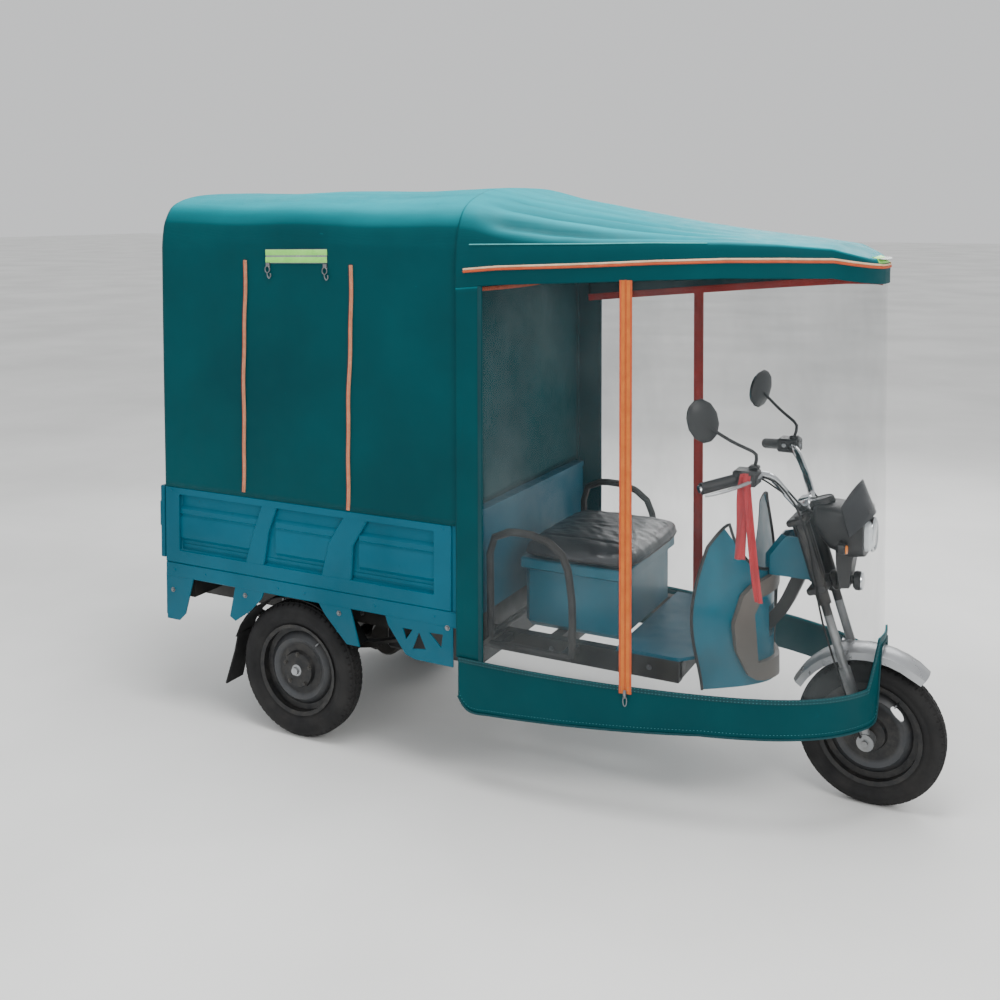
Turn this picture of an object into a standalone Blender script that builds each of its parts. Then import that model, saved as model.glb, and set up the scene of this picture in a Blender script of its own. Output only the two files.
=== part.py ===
"""Electric cargo tricycle with a canopy over its cargo bed and a covered cab.

Metres, front at +X, left at +Y, up at +Z. Shapes are laid out from the rear axle;
the last step moves everything so that X = 0 is the middle of the overall length.
"""

from math import cos, hypot, pi, radians, sin, sqrt

import bmesh
import bpy
from mathutils import Matrix, Vector

# Fits
GAP = 0.0003
CLEAR = 0.006

# Wheels and track
WHEELBASE = 1.948
HALF_TRACK = 0.432
REAR_R = 0.247
REAR_W = 0.090
FRONT_R = 0.234
FRONT_W = 0.080
BEAD_R = 0.1580
FLANGE_R = 0.1665
BEAD_W = 0.060
FLANGE_T = 0.0037
WHEEL_STEPS = 32
RIM_IN = 0.056

# Steering
RAKE = radians(17.5)
HEAD_SET = 0.229
HEAD_X = WHEELBASE - HEAD_SET
HEAD_Z = 0.880
FORK_Y = 0.082
POD_REACH = 0.215

# Cargo bed
BED_REAR = -0.595
BED_FRONT = 0.728
BED_HALF = 0.500
PANEL_FRONT = 0.668
FLOOR_TOP = 0.556
SHEET = 0.010
SILL_LOW = 0.522
SILL_TOP = 0.576
PANEL_TOP = 0.868
PANEL_T = 0.036
TAIL_T = 0.022

# Frame
RAIL_Y = 0.290
RAIL_W = 0.040
RAIL_LOW = 0.400
RAIL_TOP = 0.470
RAIL_SET = 0.319
RAIL_FRONT = HEAD_X - RAIL_SET
ARCH_CLEAR = 0.522

# Covers
FABRIC = 0.006
HOOP_R = 0.011
STRIP_REAR = 0.700
BEND_X = 0.810
NOSE_OVER = 0.044
NOSE_X = WHEELBASE + NOSE_OVER
CAB_OVER = 0.012
CAB_HALF = BED_HALF + CAB_OVER
TAPER = 0.44
HEM_LOW = 0.246
HEM_RISE = 0.052
GLASS_LOW = 0.433
NOSE_DROP = 0.012
NOSE_LEAN = 0.242
BROW = 0.055
GLASS_T = 0.0015
LAP = 0.014
ARCH_TOP = 0.532
ARCH_BAND = 0.032

# Seat
SEAT_REAR = 0.800
SEAT_FRONT = 1.225
SEAT_HALF = 0.270
SEAT_LOW = 0.715
SEAT_TOP = 0.797

# Floor of the cab
STEP_HALF = 0.310

TAILGATE_HINGE_Z = SILL_TOP + 0.012
TAILGATE_X = BED_REAR - 0.006
REAR_END = BED_REAR - 0.054
FRONT_END = WHEELBASE + FRONT_R
SHIFT = -(REAR_END + FRONT_END) / 2

for leftover in list(bpy.data.objects):
    bpy.data.objects.remove(leftover, do_unlink=True)

AXIS = Vector((sin(RAKE), 0, -cos(RAKE)))
AHEAD = Vector((cos(RAKE), 0, sin(RAKE)))
HEAD = Vector((HEAD_X, 0, HEAD_Z))
HUB = Vector((WHEELBASE, 0, FRONT_R))
made = []


# Shape helpers

def paint(name, colour, roughness, metallic=0.0):
    material = bpy.data.materials.new(name)
    material.use_nodes = True
    shader = material.node_tree.nodes["Principled BSDF"]
    shader.inputs["Base Color"].default_value = (*colour, 1)
    shader.inputs["Roughness"].default_value = roughness
    shader.inputs["Metallic"].default_value = metallic
    return material


def shape(points, faces):
    """A helper object with outward faces."""
    mesh = bpy.data.meshes.new("shape")
    mesh.from_pydata([tuple(p) for p in points], [], faces)
    work = bmesh.new()
    work.from_mesh(mesh)
    bmesh.ops.remove_doubles(work, verts=work.verts, dist=1e-6)
    bmesh.ops.recalc_face_normals(work, faces=work.faces)
    if work.calc_volume(signed=True) < 0:
        bmesh.ops.reverse_faces(work, faces=work.faces)
    work.to_mesh(mesh)
    work.free()
    obj = bpy.data.objects.new("shape", mesh)
    bpy.context.scene.collection.objects.link(obj)
    return obj


def baked(obj):
    """The object with its modifiers worked into its mesh."""
    bpy.context.view_layer.update()
    graph = bpy.context.evaluated_depsgraph_get()
    mesh = bpy.data.meshes.new_from_object(obj.evaluated_get(graph))
    obj.modifiers.clear()
    obj.data = mesh
    return obj


def rounded(obj, width, segments=1, angle=40):
    """Edges sharper than the angle get a round."""
    edge = obj.modifiers.new("Round", "BEVEL")
    edge.width = width
    edge.segments = segments
    edge.limit_method = "ANGLE"
    edge.angle_limit = radians(angle)
    return baked(obj)


def box(x, y, z, edge=0.0, segments=1):
    points = [(a, b, c) for a in x for b in y for c in z]
    faces = [(0, 1, 3, 2), (4, 6, 7, 5), (0, 4, 5, 1), (2, 3, 7, 6), (0, 2, 6, 4), (1, 5, 7, 3)]
    obj = shape(points, faces)
    return rounded(obj, edge, segments) if edge else obj


def prism(outline, axis, low, high, edge=0.0):
    """An outline in the other two directions, drawn out along X, Y or Z."""
    def at(a, b, h):
        return {"x": (h, a, b), "y": (a, h, b), "z": (a, b, h)}[axis]
    count = len(outline)
    points = [at(a, b, h) for h in (low, high) for a, b in outline]
    faces = [tuple(range(count)), tuple(range(2 * count - 1, count - 1, -1))]
    faces += [(i, (i + 1) % count, count + (i + 1) % count, count + i) for i in range(count)]
    obj = shape(points, faces)
    return rounded(obj, edge) if edge else obj


def lofted(rings, capped=True):
    """Rings of equally many points, joined in order."""
    count = len(rings[0])
    points = [p for ring in rings for p in ring]
    faces = []
    for k in range(len(rings) - 1):
        for i in range(count):
            j = (i + 1) % count
            faces.append((k * count + i, k * count + j, (k + 1) * count + j, (k + 1) * count + i))
    if capped:
        faces.append(tuple(range(count)))
        faces.append(tuple(range(len(points) - 1, len(points) - count - 1, -1)))
    return shape(points, faces)


def eased(path, radius, steps=2):
    """The path with its corners rounded."""
    path = [Vector(p) for p in path]
    points = [path[0]]
    for before, corner, after in zip(path, path[1:], path[2:]):
        back = before - corner
        on = after - corner
        reach = min(radius, back.length * 0.45, on.length * 0.45)
        start = corner + back.normalized() * reach
        end = corner + on.normalized() * reach
        for k in range(steps + 1):
            t = k / steps
            points.append((1 - t) ** 2 * start + 2 * t * (1 - t) * corner + t * t * end)
    points.append(path[-1])
    return points


def swept(path, profile, up=(0, 0, 1)):
    """A closed profile of (across, up) pairs carried along the path."""
    path = [Vector(p) for p in path]
    rings = []
    across = None
    for k, point in enumerate(path):
        ahead = path[min(k + 1, len(path) - 1)] - path[max(k - 1, 0)]
        ahead.normalize()
        if across is None:
            guide = Vector(up)
            if abs(ahead.dot(guide)) > 0.97:
                guide = Vector((0, 1, 0)) if abs(ahead.y) < 0.9 else Vector((1, 0, 0))
            across = ahead.cross(guide).normalized()
        across = (across - ahead * across.dot(ahead)).normalized()
        lift = across.cross(ahead)
        rings.append([point + across * a + lift * b for a, b in profile])
    return lofted(rings)


def circle(radius, sides=12):
    return [(radius * cos(2 * pi * k / sides), radius * sin(2 * pi * k / sides)) for k in range(sides)]


def tube(path, radius, sides=12, bend=0.0):
    return swept(eased(path, bend) if bend else path, circle(radius, sides))


def bar(path, width, height, bend=0.0, up=(0, 0, 1)):
    w = width / 2
    h = height / 2
    return swept(eased(path, bend) if bend else path, [(-w, -h), (w, -h), (w, h), (-w, h)], up)


def turned(profile, centre, axis="y", steps=32):
    """A closed profile of (radius, offset) pairs turned about an axis through the centre."""
    points = []
    faces = []
    count = len(profile)
    for k in range(steps):
        a = 2 * pi * k / steps
        for r, h in profile:
            turn = {"y": (r * cos(a), h, r * sin(a)), "x": (h, r * cos(a), r * sin(a)),
                    "z": (r * cos(a), r * sin(a), h)}[axis]
            points.append(Vector(centre) + Vector(turn))
    for k in range(steps):
        m = (k + 1) % steps
        for i in range(count):
            j = (i + 1) % count
            if profile[i][0] == 0 and profile[j][0] == 0:
                continue
            faces.append((k * count + i, k * count + j, m * count + j, m * count + i))
    return shape(points, [face for face in faces if face])


def disc(centre, radius, thick, axis="y", steps=24, edge=0.0):
    e = min(edge, thick / 3, radius / 3)
    h = thick / 2
    profile = [(0, -h), (radius - e, -h), (radius, -h + e), (radius, h - e), (radius - e, h), (0, h)]
    if not e:
        profile = [(0, -h), (radius, -h), (radius, h), (0, h)]
    return turned(profile, centre, axis, steps)


def ball(centre, size, rings=8, steps=16):
    """An ellipsoid with the given half sizes."""
    profile = [(sin(pi * k / rings) if 0 < k < rings else 0, -cos(pi * k / rings)) for k in range(rings + 1)]
    obj = turned(profile, (0, 0, 0), "z", steps)
    obj.data.transform(Matrix.Translation(centre) @ Matrix.Diagonal((*size, 1)))
    return obj


def skin(rows, thick, side=-1.0):
    """A closed sheet of even thickness from rows of points; side -1 grows it inwards."""
    count = len(rows[0])
    mesh = bpy.data.meshes.new("skin")
    faces = []
    for k in range(len(rows) - 1):
        for i in range(count - 1):
            a = k * count + i
            faces.append((a, a + 1, a + count + 1, a + count))
    mesh.from_pydata([tuple(p) for row in rows for p in row], [], faces)
    obj = bpy.data.objects.new("skin", mesh)
    bpy.context.scene.collection.objects.link(obj)
    return thickened(obj, thick, side)


def thickened(obj, thick, side):
    work = bmesh.new()
    work.from_mesh(obj.data)
    bmesh.ops.remove_doubles(work, verts=work.verts, dist=1e-6)
    bmesh.ops.recalc_face_normals(work, faces=work.faces)
    work.to_mesh(obj.data)
    work.free()
    wall = obj.modifiers.new("Wall", "SOLIDIFY")
    wall.thickness = thick
    wall.offset = side
    wall.use_even_offset = True
    obj = baked(obj)
    work = bmesh.new()
    work.from_mesh(obj.data)
    bmesh.ops.recalc_face_normals(work, faces=work.faces)
    if work.calc_volume(signed=True) < 0:
        bmesh.ops.reverse_faces(work, faces=work.faces)
    work.to_mesh(obj.data)
    work.free()
    return obj


def mirrored(obj):
    """A copy on the other side of the middle plane."""
    mesh = obj.data.copy()
    mesh.transform(Matrix.Diagonal((1, -1, 1, 1)))
    mesh.flip_normals()
    copy = bpy.data.objects.new("shape", mesh)
    bpy.context.scene.collection.objects.link(copy)
    return copy


def moved(obj, matrix):
    obj.data.transform(matrix)
    return obj


def whole(mesh):
    """Whether every edge of the mesh has two faces."""
    work = bmesh.new()
    work.from_mesh(mesh)
    result = all(edge.is_manifold for edge in work.edges)
    work.free()
    return result


def joined(pieces, cuts=()):
    """One body from overlapping pieces, less the cuts."""
    base = pieces[0]
    others = [*pieces[1:], *cuts]
    plain = base.data.copy()
    for solver in ("EXACT", "MANIFOLD"):
        base.data = plain.copy()
        for k, other in enumerate(others):
            step = base.modifiers.new("Join", "BOOLEAN")
            step.operation = "UNION" if k < len(pieces) - 1 else "DIFFERENCE"
            step.object = other
            step.solver = solver
        base = baked(base)
        if whole(base.data):
            break
    for other in others:
        bpy.data.objects.remove(other, do_unlink=True)
    return base


def node(name, obj, material, origin=(0, 0, 0), angle=34):
    """The finished piece, with its own material and origin."""
    obj.name = name
    obj.data.name = name
    obj.data.materials.clear()
    own = material.copy()
    own.name = name
    obj.data.materials.append(own)
    obj.data.transform(Matrix.Translation(-Vector(origin)))
    obj.location = Vector(origin)
    obj.data.shade_smooth()
    obj.data.set_sharp_from_angle(angle=radians(angle))
    made.append(obj)
    return obj


def both_sides(name, make, material):
    """The right piece and its mirror image on the left."""
    right = make()
    left = mirrored(right)
    return node(name + "_right", right, material), node(name + "_left", left, material)


TEAL = paint("teal", (0.004, 0.185, 0.255), 0.42, 0.1)
BRIGHT = paint("bright", (0.0, 0.22, 0.31), 0.38)
CANVAS = paint("canvas", (0.006, 0.085, 0.1), 0.62)
BLACK = paint("black", (0.012, 0.012, 0.013), 0.45, 0.2)
RUBBER = paint("rubber", (0.014, 0.014, 0.015), 0.8)
STEEL = paint("steel", (0.42, 0.43, 0.44), 0.35, 0.9)
CHROME = paint("chrome", (0.75, 0.76, 0.77), 0.12, 1.0)
SILVER = paint("silver", (0.5, 0.51, 0.52), 0.3, 0.6)
RIM = paint("rim", (0.05, 0.052, 0.056), 0.42, 0.5)
CLEAR_FILM = paint("film", (0.72, 0.78, 0.78), 0.15)
TAUPE = paint("taupe", (0.14, 0.125, 0.11), 0.5)
ORANGE = paint("orange", (0.72, 0.27, 0.07), 0.7)
RED = paint("red", (0.6, 0.05, 0.045), 0.5)
SMOKE = paint("smoke", (0.03, 0.032, 0.036), 0.12)
LENS = paint("lens", (0.8, 0.82, 0.82), 0.08)
AMBER = paint("amber", (0.8, 0.3, 0.03), 0.2)


# Frame

def axis_point(z):
    return HEAD + AXIS * ((HEAD_Z - z) / cos(RAKE))


STEER = Matrix.Translation(axis_point(0.80)) @ Matrix.Rotation(-RAKE, 4, "Y")
HUB_LOCAL = STEER.inverted() @ HUB

CROSS_HALF = BED_HALF - PANEL_T - 0.002
pieces = []
for side in (-1, 1):
    y = side * RAIL_Y
    pieces.append(box((BED_REAR + 0.02, RAIL_FRONT), (y - RAIL_W / 2, y + RAIL_W / 2), (RAIL_LOW, RAIL_TOP)))
for x, low in ((-0.50, RAIL_TOP - 0.03), (-0.21, ARCH_CLEAR), (0.11, ARCH_CLEAR), (0.43, RAIL_TOP - 0.03),
               (0.70, RAIL_TOP - 0.03)):
    pieces.append(box((x - 0.015, x + 0.015), (-CROSS_HALF, CROSS_HALF), (low, FLOOR_TOP - SHEET - GAP)))
    pieces.append(box((x - 0.015, x + 0.015), (-0.300, 0.300), (RAIL_TOP - 0.03, ARCH_CLEAR + 0.01)))
for x, high in ((-0.40, RAIL_TOP - 0.01), (0.30, RAIL_TOP - 0.01), (0.95, RAIL_TOP),
                (RAIL_FRONT - 0.015, RAIL_TOP - 0.01)):
    pieces.append(box((x - 0.02, x + 0.02), (-RAIL_Y, RAIL_Y), (RAIL_LOW + 0.01, high)))
pieces.append(bar([(RAIL_FRONT - 0.015, 0, 0.440), (HEAD_X - 0.199, 0, 0.440), (HEAD_X - 0.059, 0, 0.585),
                   STEER @ Vector((-0.012, 0, -0.030))], 0.050, 0.040, 0.05))
pieces.append(moved(turned([(0, -0.10), (0.027, -0.10), (0.030, -0.085), (0.030, 0.085), (0.027, 0.10),
                            (0, 0.10)], (0, 0, 0), "z", 24), STEER))
node("main_frame", joined(pieces), BLACK)

# Rear axle with its motor, and the springs

axle = [disc((0, 0, REAR_R), 0.026, 2 * (HALF_TRACK - RIM_IN - GAP), "y", 12),
        ball((0.0, 0.06, REAR_R), (0.098, 0.075, 0.098), 6, 14),
        disc((0.0, 0.06, REAR_R), 0.100, 0.028, "y", 20),
        disc((0.135, 0.02, REAR_R + 0.015), 0.068, 0.22, "y", 20, 0.008),
        box((0.02, 0.14), (0.015, 0.085), (REAR_R - 0.045, REAR_R + 0.055))]
for side in (-1, 1):
    axle.append(disc((0, side * (HALF_TRACK - 0.080), REAR_R), 0.072, 0.034, "y", 20))
    axle.append(box((-0.045, 0.045), (side * RAIL_Y - 0.028, side * RAIL_Y + 0.028),
                    (REAR_R, REAR_R + 0.034)))
node("rear_axle", joined(axle), BLACK)


def leaf_spring():
    y = -RAIL_Y
    base = REAR_R + 0.034 + GAP
    leaves = []
    for reach, drop in ((0.36, 0.0), (0.25, 0.010), (0.15, 0.020)):
        path = []
        for k in range(7):
            x = -reach + 2 * reach * k / 6
            rise = 0.060 * (x / 0.36) ** 2
            path.append((x, y, base + 0.026 - drop + rise))
        leaves.append(bar(path, 0.044, 0.0104))
    for x in (-0.36, 0.36):
        leaves.append(disc((x, y, base + 0.026 + 0.060), 0.014, 0.048, "y", 10))
        leaves.append(box((x - 0.006, x + 0.006), (y - 0.015, y + 0.015), (base + 0.080, RAIL_LOW - GAP)))
    leaves.append(box((-0.05, 0.05), (y - 0.027, y + 0.027), (base, base + 0.046), 0.003))
    return joined(leaves)


both_sides("leaf_spring", leaf_spring, BLACK)


# Cargo bed

SKIRTS = [
    [(-0.594, 0.530), (-0.590, 0.356), (-0.530, 0.356), (-0.500, 0.385), (-0.458, 0.530)],
    [(-0.256, 0.530), (-0.283, 0.411), (-0.257, 0.397), (-0.186, 0.446), (-0.137, 0.496), (-0.122, 0.530)],
    [(0.117, 0.530), (0.150, 0.485), (0.242, 0.395), (0.296, 0.394), (0.257, 0.530)],
    [(0.402, 0.530), (0.415, 0.492), (0.485, 0.402), (0.523, 0.390), (0.673, 0.389), (0.673, 0.530)],
]
TRUSS = [
    [(0.475, 0.491), (0.514, 0.491), (0.488, 0.453)],
    [(0.540, 0.487), (0.514, 0.425), (0.567, 0.432)],
    [(0.581, 0.492), (0.634, 0.494), (0.627, 0.447)],
]


def sill():
    parts = [box((BED_REAR, PANEL_FRONT + 0.055), (-BED_HALF, -BED_HALF + PANEL_T), (SILL_LOW, SILL_TOP),
                 0.003)]
    for outline in SKIRTS:
        parts.append(prism(outline, "y", -BED_HALF + 0.001, -BED_HALF + 0.006))
    for x in (-0.54, -0.20, 0.20, 0.55):
        parts.append(prism([(-BED_HALF + 0.003, 0.43), (-BED_HALF + 0.003, 0.524),
                            (-BED_HALF + 0.03, 0.524)], "x", x - 0.002, x + 0.002))
    cuts = [prism(outline, "y", -BED_HALF - 0.02, -BED_HALF + 0.02) for outline in TRUSS]
    parts.append(disc((BED_REAR - 0.006, -0.452, 0.405), 0.028, 0.016, "x", 20, 0.003))
    parts.append(box((BED_REAR - 0.002, BED_REAR + 0.003), (-0.495, -0.41), (0.372, 0.530)))
    return joined(parts, cuts)


right_sill = sill()
LUG = 0.012
KNUCKLE = 0.035
LUG_Y = [y + edge for y in (-0.34, 0.0, 0.34) for edge in (KNUCKLE + GAP, -KNUCKLE - GAP - LUG)]
inner = BED_HALF - PANEL_T
node("bed_tub", joined([
    box((BED_REAR + 0.002, BED_FRONT - 0.010), (-inner - 0.01, inner + 0.01), (FLOOR_TOP - SHEET, FLOOR_TOP)),
    box((BED_REAR, BED_REAR + 0.03), (-inner - 0.01, inner + 0.01), (SILL_LOW, FLOOR_TOP)),
    box((BED_FRONT - 0.020, BED_FRONT), (-inner + GAP, inner - GAP), (FLOOR_TOP - SHEET, 0.900)),
    box((PANEL_FRONT - 0.011, BED_FRONT + 0.006), (-inner + GAP, inner - GAP), (0.886, 0.905)),
    *[box((BED_REAR, BED_REAR + 0.014), (y, y + LUG),
          (FLOOR_TOP - 0.004, TAILGATE_HINGE_Z + 0.0065)) for y in LUG_Y],
    *[box((TAILGATE_X - 0.0075, BED_REAR + 0.012), (y, y + LUG),
          (TAILGATE_HINGE_Z - 0.0065, TAILGATE_HINGE_Z + 0.0065)) for y in LUG_Y],
    mirrored(right_sill),
    right_sill,
]), TEAL)

# Rib outlines in the side view, from the top left round to the bottom left
RIBS = [
    [(-0.130, 0.850), (-0.061, 0.850), (-0.102, 0.748), (-0.127, 0.606), (-0.215, 0.605), (-0.169, 0.748)],
    [(0.232, 0.850), (0.335, 0.850), (0.270, 0.748), (0.260, 0.607), (0.128, 0.607), (0.167, 0.748)],
]
BAYS = [(-0.525, -0.146), (-0.072, 0.205), (0.292, 0.600)]


def side_panel():
    out = -BED_HALF
    back = out + 0.018
    low = SILL_TOP + GAP
    face = box((BED_REAR, PANEL_FRONT), (out, out + PANEL_T), (low, PANEL_TOP), 0.003)
    window = box((-0.525, 0.600), (out - 0.02, back - 0.002), (0.625, 0.842), 0.004)
    parts = [joined([face], [window])]
    for rib in RIBS:
        parts.append(prism(rib, "y", out + 0.0006, back + 0.004, 0.004))
    for rear, front in BAYS:
        crease = [(back + 0.004, 0.800), (back, 0.800), (out + 0.007, 0.786), (out + 0.007, 0.768),
                  (out + 0.011, 0.764), (out + 0.011, 0.758), (out + 0.007, 0.752), (out + 0.007, 0.676),
                  (back, 0.662), (back + 0.004, 0.662)]
        parts.append(prism(crease, "x", rear, front))
    parts.append(box((-0.520, 0.595), (back - 0.004, back + 0.002), (0.640, 0.652)))
    hollow = box((BED_REAR + 0.03, PANEL_FRONT - 0.03), (out + 0.026, out + PANEL_T + 0.01),
                 (low + 0.03, PANEL_TOP - 0.03))
    parts.append(box((PANEL_FRONT - 0.008, PANEL_FRONT + 0.050), (out + 0.006, out + PANEL_T),
                     (low, PANEL_TOP)))
    return joined(parts, [hollow])


both_sides("side_panel", side_panel, TEAL)

# Tailgate, hinged along its lower edge

gate = [box((TAILGATE_X - TAIL_T, TAILGATE_X), (-BED_HALF + 0.004, BED_HALF - 0.004),
            (TAILGATE_HINGE_Z + 0.001, PANEL_TOP - 0.002), 0.003)]
bays = []
for low, high in ((-0.46, -0.17), (-0.145, 0.145), (0.17, 0.46)):
    bays.append(box((TAILGATE_X - TAIL_T - 0.01, TAILGATE_X - TAIL_T + 0.011), (low, high), (0.64, 0.83)))
notches = [box((TAILGATE_X - 0.05, TAILGATE_X + 0.01), (y - 0.0015, y + LUG + 0.0015),
               (TAILGATE_HINGE_Z - 0.01, TAILGATE_HINGE_Z + 0.012)) for y in LUG_Y]
gate = [joined(gate, bays + notches)]
for z in (0.685, 0.735, 0.785):
    gate.append(box((TAILGATE_X - TAIL_T + 0.003, TAILGATE_X - 0.004),
                    (-BED_HALF + 0.035, BED_HALF - 0.035), (z - 0.008, z + 0.008)))
for y in (-0.34, 0.0, 0.34):
    gate.append(disc((TAILGATE_X - 0.007, y, TAILGATE_HINGE_Z), 0.0068, 2 * KNUCKLE, "y", 10))
for side in (-1, 1):
    y = side * (BED_HALF - 0.045)
    gate.append(box((REAR_END, TAILGATE_X - TAIL_T + 0.004), (y - 0.020, y + 0.020), (0.70, 0.80), 0.005))
node("tailgate", joined(gate), TEAL, (TAILGATE_X - 0.007, 0, TAILGATE_HINGE_Z))


FLAP_Y = [-HALF_TRACK - 0.046, -HALF_TRACK - 0.038, -HALF_TRACK + 0.040, -HALF_TRACK + 0.048]


def mudflap():
    arch = []
    for k in range(13):
        a = radians(28 + k * 11.2)
        r = REAR_R + 0.042
        arch.append([(r * cos(a), y, REAR_R + r * sin(a) * 0.93) for y in FLAP_Y])
    shell = skin(arch, 0.003)
    end = Vector(arch[-1][1])
    panel = skin([[(end.x + 0.004, y, end.z + 0.012) for y in FLAP_Y[1:3]],
                  [(end.x - 0.012, y, end.z - 0.060) for y in (FLAP_Y[1] - 0.002, FLAP_Y[2] + 0.002)],
                  [(end.x - 0.050, y, end.z - 0.185) for y in (FLAP_Y[0], FLAP_Y[3])]], 0.006)
    stay = box((-0.020, 0.020), (-HALF_TRACK - 0.016, -HALF_TRACK + 0.014),
               (REAR_R + (REAR_R + 0.041) * 0.93 - 0.002, FLOOR_TOP - SHEET - GAP))
    return joined([shell, panel, stay])


both_sides("mudguard_rear", mudflap, RUBBER)

# Battery box under the bed

node("battery_box", box((0.235, 0.640), (-0.235, 0.235), (0.290, RAIL_LOW + 0.01 - GAP), 0.012), BLACK)


# Canopy over the bed: outline of the outer skin at the rear and the front, right half,
# as share of the bed's half width and height

REAR_HOOP = [(1.000, PANEL_TOP + GAP), (1.006, 1.200), (1.010, 1.540), (1.010, 1.780), (1.000, 1.830),
             (0.972, 1.885), (0.882, 1.943), (0.684, 1.974), (0.400, 1.987), (0.0, 1.991)]
FRONT_HOOP = [(1.000, PANEL_TOP + GAP), (1.004, 1.200), (1.004, 1.540), (1.000, 1.780), (0.994, 1.810),
              (0.964, 1.874), (0.878, 1.930), (0.708, 1.971), (0.442, 1.998), (0.0, 2.003)]


def hoop(t):
    """Right-to-left outline at a share t of the way from the rear hoop to the front one."""
    half = [(BED_HALF * (a[0] * (1 - t) + b[0] * t), a[1] * (1 - t) + b[1] * t)
            for a, b in zip(REAR_HOOP, FRONT_HOOP)]
    return [(-y, z) for y, z in half] + [(y, z) for y, z in reversed(half[:-1])]


def inset(outline, depth):
    """An open outline moved inwards, keeping its first and last heights."""
    result = []
    for k, (y, z) in enumerate(outline):
        before = outline[max(k - 1, 0)]
        after = outline[min(k + 1, len(outline) - 1)]
        length = hypot(after[0] - before[0], after[1] - before[1])
        result.append((y + (after[1] - before[1]) / length * depth,
                       z - (after[0] - before[0]) / length * depth))
    result[0] = (result[0][0], outline[0][1])
    result[-1] = (result[-1][0], outline[-1][1])
    return result


def share_at(x):
    return (x - BED_REAR) / (STRIP_REAR - BED_REAR)


# Stations along the canopy: x and how far the rear edge is tucked in
STATIONS = [(BED_REAR - 0.010, 0.016), (BED_REAR - 0.005, 0.005), (BED_REAR + 0.008, 0.0), (-0.28, 0.0),
            (0.05, 0.0),
            (0.38, 0.0), (STRIP_REAR - GAP, 0.0)]
rows = [[(x, y, z) for y, z in inset(hoop(share_at(x)), tuck)] for x, tuck in STATIONS]
node("bed_canopy", skin(rows, FABRIC), CANVAS)

CURTAIN_T = 0.004
rear_line = inset(hoop(share_at(BED_REAR + 0.012)), FABRIC + 4 * GAP)
curtain = [(y, max(z, PANEL_TOP + CLEAR)) for y, z in rear_line]
node("rear_curtain", prism(curtain, "x", BED_REAR + 0.010, BED_REAR + 0.010 + CURTAIN_T), CANVAS)
front_line = inset(hoop(share_at(STRIP_REAR - 0.008)), FABRIC + 4 * GAP)
node("front_curtain", prism([(y, max(z, 0.905 + GAP)) for y, z in front_line], "x",
                            STRIP_REAR - 0.004 - CURTAIN_T, STRIP_REAR - 0.004), CANVAS)

frame = []
POST_X = (BED_REAR + 0.030, 0.050, STRIP_REAR - 0.022)
for x in POST_X:
    line = inset(hoop(share_at(x)), FABRIC + GAP + HOOP_R + 0.0005)
    frame.append(tube([(x, y, z) for y, z in line[:3] + line[4:-4:2] + line[-3:]], HOOP_R, 8))
for y in (-0.28, 0.28, 0.0):
    ends = []
    for x in (POST_X[0], POST_X[2]):
        line = inset(hoop(share_at(x)), FABRIC + GAP + HOOP_R + 0.002)
        level = min(line, key=lambda p: abs(p[0] - y))
        other = [p for p in line if (p[0] - y) * (level[0] - y) <= 0 and p is not level]
        near = min(other, key=lambda p: abs(p[0] - y)) if other else level
        span = near[0] - level[0]
        share = (y - level[0]) / span if abs(span) > 1e-6 else 0
        ends.append((x, y, level[1] + (near[1] - level[1]) * share - 0.003))
    frame.append(tube(ends, HOOP_R - 0.001, 8))
node("canopy_frame", joined(frame), STEEL)


# Cab cover: its plan runs from the right rear corner round the nose to the left rear corner

STRAIGHT = 0.09
WINDOW_REAR = 0.924
ZIP_RIGHT = -0.673
ZIP_LEFT = 0.673
ARCH_T = 0.066667
FLAP_T = 0.300

# Heights along the cab, by x: top of the hem's piping, crease and ridge of the roof
PROFILE = [
    (0.700, 1.722, 1.810, 2.003),
    (0.850, 1.736, 1.813, 1.970),
    (1.150, 1.750, 1.818, 1.918),
    (1.366, 1.762, 1.823, 1.882),
    (1.574, 1.770, 1.823, 1.852),
    (1.740, 1.771, 1.815, 1.831),
    (1.870, 1.769, 1.803, 1.815),
    (1.985, 1.745, 1.765, 1.778),
]


def profile(x, column):
    """Height at x from a column of the table, 1 piping, 2 crease, 3 ridge."""
    for before, after in zip(PROFILE, PROFILE[1:]):
        if x <= after[0]:
            share = max(0.0, (x - before[0]) / (after[0] - before[0]))
            return before[column] + (after[column] - before[column]) * share
    return PROFILE[-1][column]


def plan(t):
    """Point of the cover's outline, t from -1 (right rear) over 0 (nose) to 1 (left rear)."""
    a = 1 - abs(t)
    if a <= STRAIGHT:
        x = STRIP_REAR + (BEND_X - STRIP_REAR) * a / STRAIGHT
        half = CAB_HALF
    else:
        along = sin((a - STRAIGHT) / (1 - STRAIGHT) * pi / 2)
        x = BEND_X + (NOSE_X - BEND_X) * along
        half = CAB_HALF * (1 - TAPER * along ** 1.9) * max(0.0, 1 - along ** 9) ** 0.5 if t else 0.0
    return Vector((x, -half if t < 0 else half))


def plan_at(t, z):
    base = plan(t)
    return Vector((base.x, base.y, z))


def spread(low, high, count):
    return [low + (high - low) * k / count for k in range(count + 1)]


def hem_low(t):
    """Lower edge of the hem, rounded up beside the front wheel."""
    near = max(0.0, 1 - (abs(t) - ARCH_T) / 0.07)
    rear = max(0.0, (abs(t) - 0.93) / 0.07)
    climb = min(1.0, (1 - abs(t)) / 0.454)
    return HEM_LOW + HEM_RISE * climb + 0.020 * min(1.0, near) ** 2 + 0.02 * rear ** 2


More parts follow.
